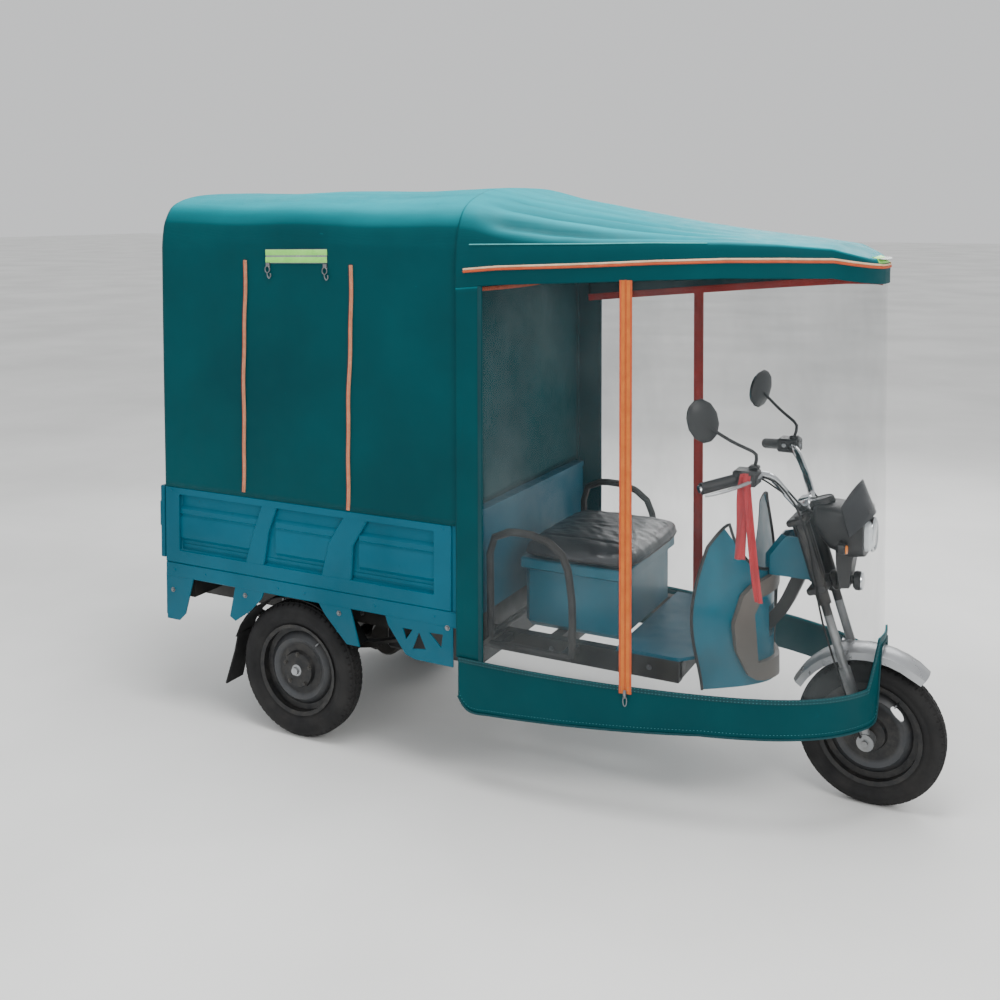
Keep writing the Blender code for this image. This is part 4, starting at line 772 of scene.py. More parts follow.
def roofColumn(t):
    # points from the lower edge of the brow up to the ridge, on the right side
    x, y = planAt(t)
    piping, crease, ridge = heightAt(x, 1), heightAt(x, 2), heightAt(x, 3)
    arched = clamp((1.40 - x) / 0.65)
    nose = max(0.0, (x - 1.75) / (cover["noseX"] - 1.75))
    result = [Vector((x, y, z)) for z in (piping - cover["brow"], piping - cover["brow"] / 2, piping)]
    result.append(Vector((x - 0.010 * nose, y * 0.985, crease)))
    for archY, archZ, tentY, tentZ in section:
        share = archY * arched + tentY * (1 - arched)
        lift = archZ * arched + tentZ * (1 - arched)
        back = (0.010 + 0.035 * lift) * nose
        result.append(Vector((x - back, y * 0.985 * share, crease + (ridge - crease) * lift)))
    return result


def roofRows():
    rows, foldShades = [], []
    for t in [-1.007] + outlineT[:165]:
        whole = mirrored(curveThrough(roofColumn(t), roofCloth["creaseSteps"]))
        row = []
        half = max(0.02, abs(whole[0].y))
        for p in whole:
            loose = clamp((p.z - heightAt(p.x, 1) - 0.055) / 0.03)  # the brow stays tight
            edge = ease((p.x - cover["stripRear"] - 0.02) / 0.16)
            wave = soft(p, (5.0, 3.0, 5.0), 2.3) * roofCloth["fold"] + soft(p, (14.0, 9.0, 9.0), 7.1) * 0.0012
            # long folds that run from the hoop's corners towards the nose
            across = abs(p.y) / half + 0.03 * (p.x - 1.0)
            depth = sum(share * ease(1 - abs(across - at) / wide) for at, wide, share in roofCloth["folds"])
            depth *= clamp((1.90 - p.x) / 0.8) * edge
            pulled = roofCloth["tension"] * depth
            # painted shade: the fold depth is kept as a mask that paints the valleys darker
            foldShades.append(min(1.0, depth * loose))
            row.append(p - Vector((0, 0, (abs(wave) + roofCloth["sag"] * 0.3 + pulled) * loose * edge)))
        rows.append(row)
    return rows, foldShades


roofGrid, roofFoldShades = roofRows()
roof = clothPiece("cabRoof", roofGrid, cover["fabric"], "canvas", "chassis", (1.2, 0.0, 1.0))
roof.data.attributes.new("paintedFoldShade", "FLOAT", "POINT").data.foreach_set("value", roofFoldShades)
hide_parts("cab_roof")

# Bed canopy: one sheet from the right side panel over the hoops to the left one

rearHoop = [(0.500, 0.8683), (0.503, 1.200), (0.505, 1.540), (0.505, 1.780), (0.500, 1.830), (0.486, 1.885),
            (0.441, 1.943), (0.342, 1.974), (0.200, 1.987), (0.0, 1.991)]
frontHoop = [(0.500, 0.8683), (0.502, 1.200), (0.502, 1.540), (0.500, 1.780), (0.497, 1.810), (0.482, 1.874),
             (0.439, 1.930), (0.354, 1.971), (0.221, 1.998), (0.0, 2.003)]
canopy = {"rear": -0.605, "front": 0.6997, "bedRear": -0.595, "edge": 0.016, "sag": 0.007, "fold": 0.0035,
          "hoops": (-0.565, 0.050, 0.678)}


def hoopLine(x, steps=6):
    share = clamp((x - canopy["bedRear"]) / (cover["stripRear"] - canopy["bedRear"]), 0, 1)
    half = [Vector((x, -(a[0] * (1 - share) + b[0] * share), a[1] * (1 - share) + b[1] * share))
            for a, b in zip(rearHoop, frontHoop)]
    smooth = curveThrough(half[3:], steps)
    low = []
    for a, b in zip(half[:3], half[1:4]):
        low += [a.lerp(b, k / 14) for k in range(14)]
    return low + smooth


def canopyRows():
    rear, front = canopy["rear"], canopy["front"]
    stations = [rear + turned for turned in (0, 0.002, 0.005, 0.010, 0.018)]
    stations += [rear + 0.018 + (front - rear - 0.018) * k / 110 for k in range(1, 111)]
    rows = []
    for x in stations:
        whole = mirrored(hoopLine(x))
        fromRear = x - rear
        tuck = canopy["edge"] * (1 - clamp(fromRear / 0.018)) ** 2
        near = min(abs(x - h) for h in canopy["hoops"])
        row = []
        for k, p in enumerate(whole):
            before, after = whole[max(k - 1, 0)], whole[min(k + 1, len(whole) - 1)]
            out = Vector((0, -(after.z - before.z), after.y - before.y)).normalized()
            held = clamp((p.z - 0.88) / 0.1) * clamp(fromRear / 0.05) * clamp((front - x) / 0.05)
            top = clamp((p.z - 1.80) / 0.1)
            sag = canopy["sag"] * (1 - ease(1 - clamp(near / 0.30))) * (0.25 + 0.75 * top)
            wave = soft(p, (3.2, 3.0, 1.2), 4.2) * canopy["fold"] + soft(p, (11.0, 8.0, 4.0), 9.4) * 0.0011
            pull = soft(p, (18.0, 18.0, 2.4), 1.4) * 0.0022 * clamp(1 - (p.z - 0.87) / 0.35)
            row.append(p - out * (tuck + (sag + abs(wave) + abs(pull)) * held))
        rows.append(row)
    return rows


bedCanopy = clothPiece("bedCanopy", canopyRows(), cover["fabric"], "canvas", "chassis", (0.0, 0.0, 1.0))
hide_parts("bed_canopy")


def sideAt(x, z, side):
    # point and outward normal on the canopy's side
    line = hoopLine(x)
    for a, b in zip(line, line[1:]):
        if a.z <= z <= b.z:
            p = a.lerp(b, (z - a.z) / (b.z - a.z))
            return Vector((x, p.y * -side, z)), Vector((0, side, 0))
    return Vector((x, 0.5 * side, z)), Vector((0, side, 0))


print("roof and canopy made")

# Cab cover: hem band all round with the raised arch over the front wheel, and the two rear strips

hemCloth = {"rows": 16, "fold": 0.004, "archRound": 0.045, "cornerRise": 0.035}


def skirtLow(t):
    arch = min(cover["archTop"], glassLow(t) - 0.025)
    share = ease((cover["archT"] + hemCloth["archRound"] * 0.55 - abs(t)) / hemCloth["archRound"])
    corner = hemCloth["cornerRise"] * max(0.0, (abs(t) - 0.955) / 0.045) ** 2.4
    return hemLow(t) + corner + (arch - hemLow(t)) * share


def coverRows(ts, steps, span, depthAt):
    # rows of points between two heights of the cover, set in by a depth
    rows = []
    for k in range(steps + 1):
        share = k / steps
        row = []
        for j, t in enumerate(ts):
            low, high = span(t)
            z = low + (high - low) * share
            row.append(coverPoint(t, z, -depthAt(j, t, share, coverPoint(t, z))))
        rows.append(row)
    return rows


def skirtDepth(j, t, share, p):
    wave = soft(p, (7.0, 7.0, 3.0), 3.3) * hemCloth["fold"]
    wave += soft(p, (22.0, 22.0, 12.0), 6.6) * 0.0012
    return abs(wave * clamp((1 - abs(t)) / 0.03)) * (0.3 + 0.7 * (1 - share))


skirtGrid = coverRows(outlineT, hemCloth["rows"], lambda t: (skirtLow(t), glassLow(t)), skirtDepth)
skirt = clothPiece("hemBand", skirtGrid, cover["fabric"], "canvas", "chassis", (1.2, 0.0, 0.35))
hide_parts("cab_cover_right", "cab_cover_left", "front_flap")


def stripDepth(j, t, share, p):
    return abs(soft(p, (16.0, 5.0, 2.6), 5.1) * 0.003 * min(1.0, j / 3))


for side, word in bothSides:
    ts = [side * (1.006 - (1.006 - cover["windowRear"]) * j / 14) for j in range(15)]
    rows = coverRows(ts, 60, lambda t: (glassLow(t), browLow(t) + 0.004), stripDepth)
    strip = clothPiece("rearStrip" + word, rows, cover["fabric"], "canvas", "chassis", (1.2, 0.0, 1.1))

# Clear windows

filmSheet = {"thick": 0.0012, "inset": 0.0062, "lap": 0.014, "crease": 0.0028}


def filmDepth(j, t, share, p):
    free = min(clamp(share / 0.08), clamp((1 - share) / 0.08))
    wave = soft(p, (5.0, 5.0, 2.2), 8.2) * filmSheet["crease"]
    diagonal = Vector((p.x + p.z * 0.8, p.y, p.z - p.x * 0.6))
    wave += soft(diagonal, (16.0, 10.0, 2.0), 2.6) * filmSheet["crease"] * 0.5
    return filmSheet["inset"] + abs(wave) * free


def filmPiece(name, first, last, node):
    ts = [t for t in outlineT if first <= t <= last]
    lap = filmSheet["lap"]
    rows = coverRows(ts, 56, lambda t: (glassLow(t) - lap, browLow(t) + lap), filmDepth)
    film = clothPiece(name, rows, filmSheet["thick"], "film", "chassis", (1.2, 0.0, 1.1))
    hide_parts(node)
    return film


films = [filmPiece("filmRearRight", -0.935, -cover["zip"], "window_rear_right"),
         filmPiece("filmFront", -cover["zip"], cover["farZip"], "window_front"),
         filmPiece("filmRearLeft", cover["farZip"], 0.935, "window_rear_left")]
print("cab cover and windows made")

# Curtains at the rear of the bed and between bed and cab


def curtainPiece(name, x, low, inset, thick, node, seed):
    edge = hoopLine(x)
    top = edge[-1].z - inset
    rows = []
    for k in range(49):
        z = low + (top - low) * k / 48
        half = 0.0
        for a, b in zip(edge, edge[1:]):
            if a.z <= z + inset * 0.5 <= b.z + 1e-9:
                half = -(a.y + (b.y - a.y) * (z + inset * 0.5 - a.z) / max(1e-6, b.z - a.z))
        half = max(0.02, half - inset)
        row = []
        for j in range(61):
            y = -half + 2 * half * j / 60
            wave = soft((x, y, z), (1.0, 7.0, 1.6), seed) * 0.004
            wave += soft((x, y, z), (1.0, 16.0, 5.0), seed) * 0.0015
            row.append(Vector((x + wave * 0.6, y, z)))
        rows.append(row)
    piece = clothPiece(name, rows, thick, "canvas", "chassis", (0.05, 0.0, 1.2))
    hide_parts(node)
    return piece


rearCurtain = curtainPiece("rearCurtain", -0.5815, 0.8742, 0.009, 0.003, "rear_curtain", 3.1)
frontCurtain = curtainPiece("frontCurtain", 0.6935, 0.9056, 0.009, 0.003, "front_curtain", 5.7)

# Piping, bindings, zips and strips on the covers

pipingLooks = [
    # name, height above the table's line, radius, finish
    ("pipingUpper", 0.0045, 0.0036, "creamCord"),
    ("pipingLower", -0.0030, 0.0040, "orangeCord"),
]
for name, rise, radius, finish in pipingLooks:
    path = [coverPoint(t, heightAt(planAt(t)[0], 1) + rise, 0.0012) for t in outlineT if abs(t) < 0.984]
    tubePiece(name, path, radius, finish, "chassis", 8)

hemEdge = [coverPoint(t, skirtLow(t) + 0.003, 0.0005) for t in outlineT]
tubePiece("hemEdge", hemEdge, 0.0036, "canvasPlain", "chassis", 8)
filmSeam = [coverPoint(t, glassLow(t) - 0.006, 0.0002) for t in outlineT]
stripPiece("filmSeam", filmSeam, [coverOut(t) for t in outlineT], 0.016, 0.0022, "canvasPlain", "chassis")
for side, word in bothSides:
    path = [coverPoint(side * 0.931, z) for z in spread(glassLow(0.93), browLow(0.93), 30)]
    outs = [coverOut(side * 0.931)] * len(path)
    stripPiece("stripSeam" + word, path, outs, 0.014, 0.002, "canvasPlain", "chassis")

sewnT = [t for t in outlineT if abs(t) < 0.995]
hemStitches = [[(coverPoint(t, glassLow(t) - drop, 0.0026), coverOut(t)) for t in sewnT]
               for drop in (0.0015, 0.0105)]
hemStitches.append([(coverPoint(t, skirtLow(t) + 0.018, 0.0006), coverOut(t)) for t in sewnT])
repeated("hemStitches", hemStitches, stitch, "thread", "chassis", 0.011)

zipLooks = {"width": 0.040, "thick": 0.0022, "tooth": 0.0042}


def zipPiece(name, path, outs, width, tape, edge, body, pull=True):
    stripPiece(name + "Tape", path, outs, width, zipLooks["thick"], tape, body)
    edges = []
    for side in (-1, 1):
        moved = []
        for k, (p, out) in enumerate(zip(path, outs)):
            ahead = (path[min(k + 1, len(path) - 1)] - path[max(k - 1, 0)]).normalized()
            moved.append(p + ahead.cross(Vector(out)) * side * width * 0.42 + Vector(out) * 0.0014)
        edges.append(stripPiece(name + "Edge", moved, outs, width * 0.12, 0.0018, edge, body))
    unionOf(name + "Edges", edges, body)
    raised = [(p + Vector(out) * (zipLooks["thick"] + 0.0002), out) for p, out in zip(path, outs)]
    repeated(name + "Teeth", [raised], tooth, edge, body, zipLooks["tooth"])
    if pull:
        low, out = path[0], Vector(outs[0])
        down = (path[0] - path[1]).normalized()
        loop = [low + out * 0.006 + down * (0.006 + 0.016 * (1 - cos(a))) + down.cross(out) * 0.006 * sin(a)
                for a in angles(16)]
        tubePiece(name + "Pull", loop, 0.0016, "steel", body, 6, True)
        slider = [low + out * 0.004 - down * 0.012, low + out * 0.007 - down * 0.004,
                  low + out * 0.007 + down * 0.004, low + out * 0.003 + down * 0.012]
        tubePiece(name + "Slider", slider, lambda share: 0.0062 - 0.003 * abs(share - 0.45), "steel", body, 8)


for word, t, tape, edge in (("Right", -cover["zip"], "orangeTape", "orangeCord"),
                            ("Left", cover["farZip"], "redTape", "ribbonRed")):
    path = [coverPoint(t, z, 0.0008) for z in spread(glassLow(t) - 0.022, browLow(t) + 0.004, 50)]
    zipPiece("cabZip" + word, path, [coverOut(t)] * 51, zipLooks["width"], tape, edge, "chassis")

sideZips = [((-0.192, 1.741), (-0.211, 0.886)), ((0.274, 1.733), (0.251, 0.873))]
for side, word in bothSides:
    for index, (top, bottom) in enumerate(sideZips):
        path, outs = [], []
        for k in range(41):
            share = k / 40
            sway = 0.0022 * sin(share * 9.0 + index) + 0.0012 * sin(share * 23.0)
            x, z = [low + (high - low) * share for low, high in zip(bottom, top)]
            p, out = sideAt(x + sway, z, side)
            path.append(p + out * 0.0004)
            outs.append(out)
        zipPiece(f"sideZip{word}{index}", path, outs, 0.014, "creamCord", "orangeCord", "chassis", False)

bandSetup = {"rear": -0.098, "front": 0.171, "low": 1.732, "high": 1.782}
bandHigh = bandSetup["high"] - bandSetup["low"]
hookLine = [(0, -0.022), (0.001, -0.034), (0.008, -0.044), (0.015, -0.036), (0.014, -0.026)]
for side, word in bothSides:
    for part, middle, width, thick, finish in (("Backing", 0.50, 1.0, 0.0016, "greyTape"),
                                               ("GreenUpper", 0.76, 0.40, 0.0022, "paleGreen"),
                                               ("GreenLower", 0.24, 0.40, 0.0022, "paleGreen")):
        z = bandSetup["low"] + bandHigh * middle
        path, outs = zip(*[sideAt(bandSetup["rear"] + (bandSetup["front"] - bandSetup["rear"]) * k / 12,
                                  z + 0.005 * k / 12, side) for k in range(13)])
        stripPiece("band" + word + part, path, outs, bandHigh * width, thick, finish, "chassis")
    for index, x in enumerate((-0.087, 0.164)):
        top, out = sideAt(x, 1.722, side)
        ring = [top + out * 0.006 + Vector((0.010 * sin(a), 0, -0.012 + 0.012 * cos(a)))
                for a in angles(16)]
        hook = [top + out * 0.007 + Vector((x, 0, z)) for x, z in hookLine]
        loop = [top + Vector((0, 0, 0.012)), top + Vector((0, 0, -0.002))]
        unionOf(f"canopyHook{word}{index}",
                [tubePiece("ring", ring, 0.0020, "steel", None, 8, True),
                 tubePiece("hook", curveThrough(hook, 5), 0.0022, "steel", None, 8),
                 stripPiece("loop", loop, [out] * 2, 0.016, 0.007, "steel", None)], "chassis")


def roofAt(t, rise):
    # point and normal on the roof, rise metres of cloth above the piping
    line = curveThrough(roofColumn(t), 8)[16:]
    gone = 0.0
    for p, q in zip(line, line[1:]):
        step = (q - p).length
        if gone + step >= rise:
            place = p.lerp(q, (rise - gone) / step)
            break
        gone += step
    else:
        place, p, q = line[-1], line[-2], line[-1]
    along = roofColumn(t + 0.002)[2] - roofColumn(t)[2]
    out = along.cross(q - p).normalized()
    return place, out if out.x > 0 or out.z > 0 else -out


noseT = [-0.085 + 0.170 * k / 34 for k in range(35)]
for part, rise, width, thick, finish in (("Backing", 0.030, 0.044, 0.0016, "greyTape"),
                                         ("GreenUpper", 0.041, 0.016, 0.0022, "paleGreen"),
                                         ("GreenLower", 0.018, 0.016, 0.0022, "paleGreen")):
    path, outs = zip(*[roofAt(t, rise) for t in noseT])
    stripPiece("noseBand" + part, path, outs, width, thick, finish, "chassis")

# painted highlight: a lighter teal seam cord along the roof crease stands in for the light line on the fold
creaseT = [-0.965 + 0.43 * k / 60 for k in range(61)]
for side, word in bothSides:
    path = [roofColumn(t * -side)[3] + coverOut(t * -side) * 0.0006 for t in creaseT]
    tubePiece("creaseSeam" + word, path, 0.0022, "creaseHighlight", "chassis", 6)

# inner bindings at the top of the windows
innerLine = [(0.700, 1.563), (0.745, 1.567), (1.296, 1.623), (1.813, 1.677), (1.990, 1.690)]


def innerHeight(t):
    x = planAt(t)[0]
    for (x1, z1), (x2, z2) in zip(innerLine, innerLine[1:]):
        if x <= x2:
            return z1 + (z2 - z1) * clamp((x - x1) / (x2 - x1))
    return innerLine[-1][1]


innerT = [0.965 - 0.865 * k / 80 for k in range(81)]
path = [coverPoint(t, innerHeight(t), -0.0175) for t in innerT]
stripPiece("innerBindingFar", path, [-coverOut(t) for t in innerT], 0.026, 0.002, "redTape", "chassis")
columns = [[coverPoint(t, z, -0.0125) for z in spread(innerHeight(t), browLow(t) + 0.02, 8)] for t in innerT]
rows = [list(row) for row in zip(*columns)]
farValance = clothPiece("farValance", rows, 0.0025, "canvasPlain", "chassis", (1.2, 0.0, 1.6))
path = [Vector((0.7010, -0.470 + 0.940 * k / 20, 1.657 - 0.010 * sin(pi * k / 20))) for k in range(21)]
stripPiece("innerBindingRear", path, [Vector((1, 0, 0))] * 21, 0.014, 0.002, "orangeCord", "chassis")
print("trim on the covers made")

# Seat cushion: crowned pad, its sides pulled in, with wrinkles and a welt

seatPad = {"rear": 0.802, "front": 1.223, "half": 0.268, "low": 0.716, "top": 0.797, "crown": 0.012}


def seatPoint(u, v, upper):
    # u and v run from -1 to 1 over the pad
    x = (seatPad["rear"] + seatPad["front"]) / 2
    y = seatPad["half"] * v
    reach = (seatPad["front"] - seatPad["rear"]) / 2
    corner = 1 - 0.10 * (abs(u * v)) ** 3
    x += reach * u * corner
    y *= corner
    edge = max(abs(u), abs(v))
    rise = (1 - edge ** 6) ** 0.5
    if not upper:
        return Vector((x, y, seatPad["low"] + 0.020 * (1 - rise)))
    z = seatPad["low"] + 0.020 + (seatPad["top"] - seatPad["low"] - 0.020 - seatPad["crown"]) * rise
    z += seatPad["crown"] * (1 - u * u) * (1 - v * v)
    wrinkle = 0.0045 * abs(soft((x, y, 0), (9, 26, 1), 1.9))
    z -= wrinkle + 0.004 * abs(soft((x + y, x - y, 0), (22, 8, 1), 6.3))
    if abs(u) < 0.86:
        z -= 0.003 * ease(1 - abs(abs(v) - 0.66) / 0.03)
    z += soft((x, y, z), (14, 14, 14), 1.9) * 0.0015
    return Vector((x, y, z))


def makeSeat():
    count = 121
    marks = [sin(pi / 2 * (-1 + 2 * k / (count - 1))) for k in range(count)]
    points = [seatPoint(u, v, True) for u in marks for v in marks]
    points += [seatPoint(u, v, False) for u in marks for v in marks]
    faces = gridFaces(count, count)
    base = count * count
    faces += [tuple(base + i for i in reversed(face)) for face in gridFaces(count, count)]
    rim = [(0, j) for j in range(count)] + [(i, count - 1) for i in range(1, count)]
    rim += [(count - 1, j) for j in range(count - 2, -1, -1)] + [(i, 0) for i in range(count - 2, 0, -1)]
    ids = [i * count + j for i, j in rim]
    for a, b in zip(ids, ids[1:] + ids[:1]):
        faces.append((a, b, base + b, base + a))
    pad = closeUp(addPiece("seatPad", points, faces, "vinyl", "seat", 60))
    return pad, [seatPoint(marks[i], marks[j], True) for i, j in rim]


seat, rimLine = makeSeat()
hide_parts("seat_cushion")
tubePiece("seatWelt", [p + Vector((0, 0, 0.001)) for p in rimLine], 0.0032, "blackPlastic", "seat", 6, True)
print("seat made")

# Tyres with tread, wheel nuts and valves

treadSetup = {"steps": 540, "depth": 0.0042, "lugs": 60, "groove": 0.0026, "rimSeat": 0.1583, "bead": 0.030}


def tyrePiece(name, wheel):
    radius, half = wheel["radius"], wheel["width"] / 2
    low, bead = treadSetup["rimSeat"], treadSetup["bead"]
    side = [(low, bead * 0.9), (low + 0.002, bead), (low + 0.014, bead + 0.003), (low + 0.030, half - 0.004),
            (low + 0.045, half), (radius - 0.020, half - 0.003)]
    wall = [(v.x, v.y) for v in curveThrough([(r, y, 0) for r, y in side], 4)]
    tread = []
    for k in range(1, 40):
        y = (half - 0.003) * (1 - k / 20)
        share = abs(y) / (half - 0.003)
        tread.append((radius - 0.020 * share ** 5 - 0.0016 * share ** 2, y))
    section = wall + tread + [(r, -y) for r, y in reversed(wall)]
    steps = treadSetup["steps"]
    points = []
    for k, a in enumerate(angles(steps)):
        lug = (k / steps * treadSetup["lugs"]) % 1.0
        zig = abs(lug - 0.5) * 2 - 0.5
        for r, y in section:
            cut = 0.0
            if r > radius - 0.013:
                share = abs(y) / half
                middle = abs(abs(y) - half * 0.30 - 0.003 * zig) < treadSetup["groove"]
                outer = abs(abs(y) - half * 0.62 - 0.0025 * zig) < treadSetup["groove"] * 0.8
                slot = share > 0.62 and abs(lug - 0.5) < 0.13
                slit = share <= 0.30 and abs(lug - 0.25 - y * 8) < 0.07
                slitTwo = 0.32 < share < 0.60 and abs(lug - 0.78) < 0.07
                cut = treadSetup["depth"] if middle or outer or slot else 0.0022 if slit or slitTwo else 0.0
            ridge = 0.0008 if abs(r - low - 0.036) < 0.003 or abs(r - low - 0.018) < 0.002 else 0.0
            rr = r - cut
            points.append((rr * cos(a), y + (ridge if y > 0 else -ridge), rr * sin(a)))
    n = len(section)
    faces = []
    for k in range(steps):
        m = (k + 1) % steps
        faces += [(k * n + i, k * n + (i + 1) % n, m * n + (i + 1) % n, m * n + i) for i in range(n)]
    cx, cy, cz = wheel["centre"]
    piece = closeUp(addPiece("tread_" + name, [(x + cx, y + cy, z + cz) for x, y, z in points], faces,
                             "rubber", wheel["body"], 45))
    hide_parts("tyre_" + name)


for name, wheel in wheels.items():
    tyrePiece(name, wheel)
    out = Vector((0, wheel["out"], 0))
    centre = Vector(wheel["centre"])
    if name != "front":
        nuts = [(centre + Vector((0.056 * cos(a), wheel["out"] * 0.0325, 0.056 * sin(a))), out)
                for a in [turn + 0.3 for turn in angles(5)]]
        repeated("nuts_" + name, [nuts], boltHead, "blackPaint", wheel["body"])
    rod = Vector((cos(0.9), 0, sin(0.9)))
    stemStart = centre + rod * 0.146 + out * 0.006
    stemEnd = centre + rod * 0.126 + out * 0.030
    tubePiece("valve_" + name, [stemStart, stemStart.lerp(stemEnd, 0.5) + out * 0.002, stemEnd],
              lambda share: 0.0036 - 0.001 * share, "steel", wheel["body"], 8)
print("wheels made")

# Fittings: mirror glasses, levers, cables, bolts and reflectors

mirrorSetup = [
    # word, centre, yaw, lean, mirrored
    ("Right", (1.497, -0.372, 1.268), -38, 26, False),
    ("Left", (1.490, -0.350, 1.268), 20, 38, True),
]
for word, centre, yaw, lean, flip in mirrorSetup:
    turn = Matrix.Translation(centre) @ Matrix.Rotation(radians(yaw), 4, "Z")
    turn = turn @ Matrix.Rotation(radians(lean), 4, "X")
    if flip:
        turn = Matrix.Diagonal((1, -1, 1, 1)) @ turn
    rings = []
    for grow, back in ((1.02, -0.0060), (1.02, -0.0128), (0.96, -0.0150), (0.93, -0.0142), (0.0, -0.0142)):
        rings.append([turn @ Vector((back, 0.048 * grow * cos(a), 0.064 * grow * sin(a)))
                      for a in angles(40)])
    rings.append([turn @ Vector((-0.0060, 0, 0))] * 40)
    closeUp(addPiece("mirrorGlass" + word, [p for ring in rings for p in ring], gridFaces(6, 40, True),
                     "mirrorGlass", "steering"))

leverSetup = [(1.652, 0.262, 1.090), (1.640, 0.300, 1.082), (1.590, 0.372, 1.064), (1.540, 0.420, 1.052),
              (1.524, 0.430, 1.050)]
wireSetup = [(1.612, 0.2450, 1.078), (1.640, 0.215, 1.070), (1.690, 0.165, 1.024), (1.735, 0.100, 0.972),
             (1.772, 0.070, 0.945)]
for side, word in bothSides:
    line = curveThrough([(x, y * side, z) for x, y, z in leverSetup], 6)
    tubePiece("lever" + word, line, lambda share: 0.0062 - 0.0016 * share + (0.002 if share > 0.96 else 0),
              "silverPaint", "steering", 10)
    knob = Vector((1.600, 0.2445 * side, 1.088))
    turnedPiece("switch" + word, [(0, 0.006), (0.006, 0.006), (0.0075, 0.004), (0.0075, 0), (0, 0)], knob,
                (0, -side, 0), "silverPaint", "steering", 16)
    wire = curveThrough([(x, y * side, z) for x, y, z in wireSetup], 8)
    tubePiece("wire" + word, wire, 0.0030, "rubber", "steering", 8)

shield = {"low": 0.350, "high": 0.915, "peak": 0.80, "front": 1.630, "edge": 1.445, "dip": 0.725}


def shieldPoint(t, z):
    share = (z - shield["low"]) / (shield["high"] - shield["low"])
    half = 0.205 + 0.125 * sin(pi * min(1.0, share ** 1.25)) ** 1.2 + 0.085 * share
    front = shield["front"] - 0.015 * share
    edge = shield["edge"] + 0.065 * share ** 2
    return Vector((front - (front - edge) * abs(t) ** 1.7, half * t, z))


def shieldTop(t):
    t = abs(t)
    if t < shield["peak"]:
        return shield["dip"] + 0.190 * (t / shield["peak"]) ** 2
    return shield["high"] - 1.4 * (t - shield["peak"]) ** 2


for side, word in bothSides:
    line = [shieldPoint(side, z) for z in spread(shield["low"], shieldTop(1), 30)]
    line += [shieldPoint(side * t, shieldTop(t)) for t in [1 - k / 30 for k in range(1, 28)]]
    tubePiece("shieldEdge" + word, line, 0.0052, "blackPlastic", "chassis", 8)
turnedSetup = [
    # name, profile, centre, axis, finish, steps
    ("dashDial", [(0, 0.0), (0.040, 0.0), (0.044, 0.006), (0.042, 0.020), (0.038, 0.024), (0.036, 0.021),
                  (0, 0.021)], (1.790, 0.0, 0.955), (-0.35, 0, 1), "blackPlastic", 32),
    ("dashGlass", [(0, 0.0222), (0.020, 0.0226), (0.0355, 0.0214), (0.0355, 0.019), (0, 0.019)],
     (1.790, 0.0, 0.955), (-0.35, 0, 1), "smoke", 32),
    ("lampBezel", [(0.052, 0.0), (0.056, 0.003), (0.0555, 0.010), (0.050, 0.014), (0.046, 0.011),
                   (0.047, 0.0)], (1.9445, 0.0, 0.876), (1, 0, 0), "chrome", 40),
    ("hornGrille", [(0, 0.004), (0.010, 0.0035), (0.022, 0.0035), (0.028, 0.002), (0.030, -0.002),
                    (0, -0.002)], (1.9195, -0.010, 0.722), (1, 0, 0), "chrome", 28),
]
lensProfile = [(0, 0.004), (0.010, 0.0035), (0.0135, 0.001), (0.0140, -0.002), (0, -0.002)]
for side, word in bothSides:
    lensPlace = (1.8915, 0.130 * side, 0.852)
    turnedSetup.append(("signalLens" + word, lensProfile, lensPlace, (1, 0, 0), "amber", 24))
for name, profile, centre, axis, finish, steps in turnedSetup:
    turnedPiece(name, profile, centre, axis, finish, "steering", steps)

bedSide = 0.5002  # y just outside the side panels
fastenerSetup = {
    # x, y, z on one side
    "rivets": [(x, bedSide, 0.549) for x in (-0.55, -0.40, -0.06, 0.06, 0.36, 0.60)]
              + [(x, bedSide, 0.855) for x in (-0.56, 0.635)],
    "bolts": [(-0.560, 0.4990, 0.470), (-0.21, 0.4990, 0.500), (0.21, 0.4990, 0.500), (0.652, 0.4990, 0.520)]
             + [(x, 0.290 + 0.0202, 0.435) for x in (-0.52, -0.18, 0.18, 0.62, 0.95, 1.30)],
}
for name, part, small, finish in (("bedRivets", "rivets", rivetHead, "tealPaint"),
                                  ("frameBolts", "bolts", boltHead, "steel")):
    places = [(Vector((x, y * side, z)), (0, side, 0)) for side in (-1, 1) for x, y, z in fastenerSetup[part]]
    repeated(name, [places], small, finish, "chassis")
gateRivets = [[(Vector((-0.6231, y, z)), (-1, 0, 0)) for y in (-0.48, -0.157, 0.157, 0.48)
               for z in (0.63, 0.84)]]
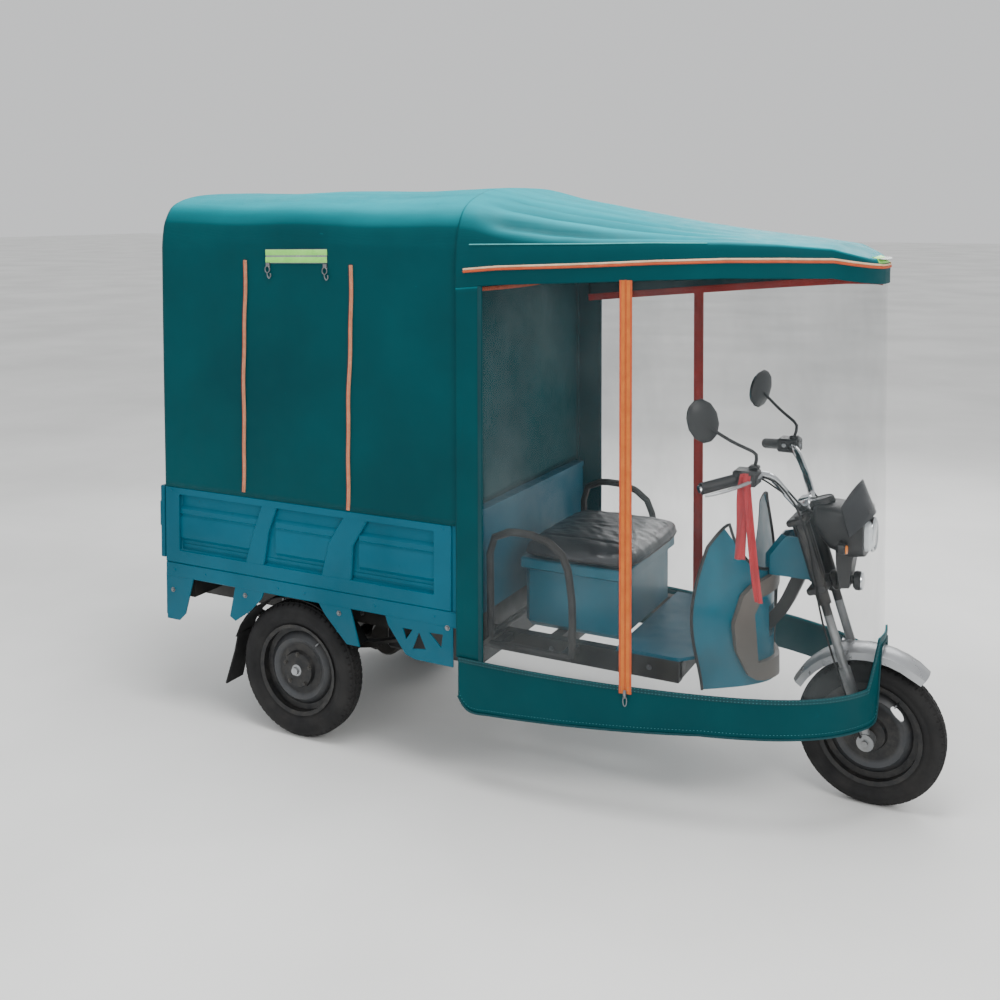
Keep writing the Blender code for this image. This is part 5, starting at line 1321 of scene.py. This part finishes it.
repeated("gateRivets", gateRivets, rivetHead, "tealPaint", "tailgate")

for side, word in bothSides:
    turnedPiece("rearReflector" + word, [(0, 0.004), (0.016, 0.0034), (0.0225, 0.0012), (0.023, -0.002),
                                         (0, -0.002)], (-0.6095, 0.452 * side, 0.405), (-1, 0, 0), "redLens",
                "chassis", 28)
print("fittings made")

# Ribbon tied at the right switch

ribbonSetup = {"width": 0.030, "knot": (1.622, -0.312, 1.105), "tails": (
    # name, share of the width, seed of the twist, line down from the knot
    ("ribbonLong", 0.85, 0.4, ((0, -0.006, 0), (0.004, -0.014, -0.06), (0.016, -0.012, -0.20),
                               (0.030, -0.010, -0.32), (0.040, -0.008, -0.40))),
    ("ribbonShort", 1.15, 2.1, ((-0.004, -0.008, 0), (-0.010, -0.016, -0.06), (-0.014, -0.016, -0.16),
                                (-0.020, -0.014, -0.27))),
)}


def ribbonTail(name, points, width, seed):
    line = curveThrough(points, 14)
    rows = []
    for k, p in enumerate(line):
        share = k / (len(line) - 1)
        twist = 0.35 * sin(share * 3.4 + seed) + 0.2
        across = Vector((cos(twist), sin(twist), 0))
        row = []
        for j in range(9):
            a = (j / 8 - 0.5) * width
            curl = 0.004 * cos(pi * j / 8 * 2 + seed + share * 5)
            row.append(p + across * a + Vector((-across.y, across.x, 0)) * curl)
        rows.append(row)
    piece = clothPiece(name, rows, 0.0007, "ribbonRed", "steering", (1.6, 0.5, 0.9))


kx, ky, kz = ribbonSetup["knot"]
for name, wider, seed, line in ribbonSetup["tails"]:
    ribbonTail(name, [(kx + x, ky + y, kz + z) for x, y, z in line], ribbonSetup["width"] * wider, seed)
print("ribbon made")

# Floor

floorLook = {"base": (244, 244, 242), "second": (230, 230, 228), "patch": 1.5, "rough": (0.75, 0.85),
             "bump": 0.02}
reach = 60.0
floor = addPiece("floor", [(-reach, -reach, 0), (reach, -reach, 0), (reach, reach, 0), (-reach, reach, 0)],
                 [(0, 1, 2, 3)], surface("floorFinish", floorLook), None)

print("scene ready")
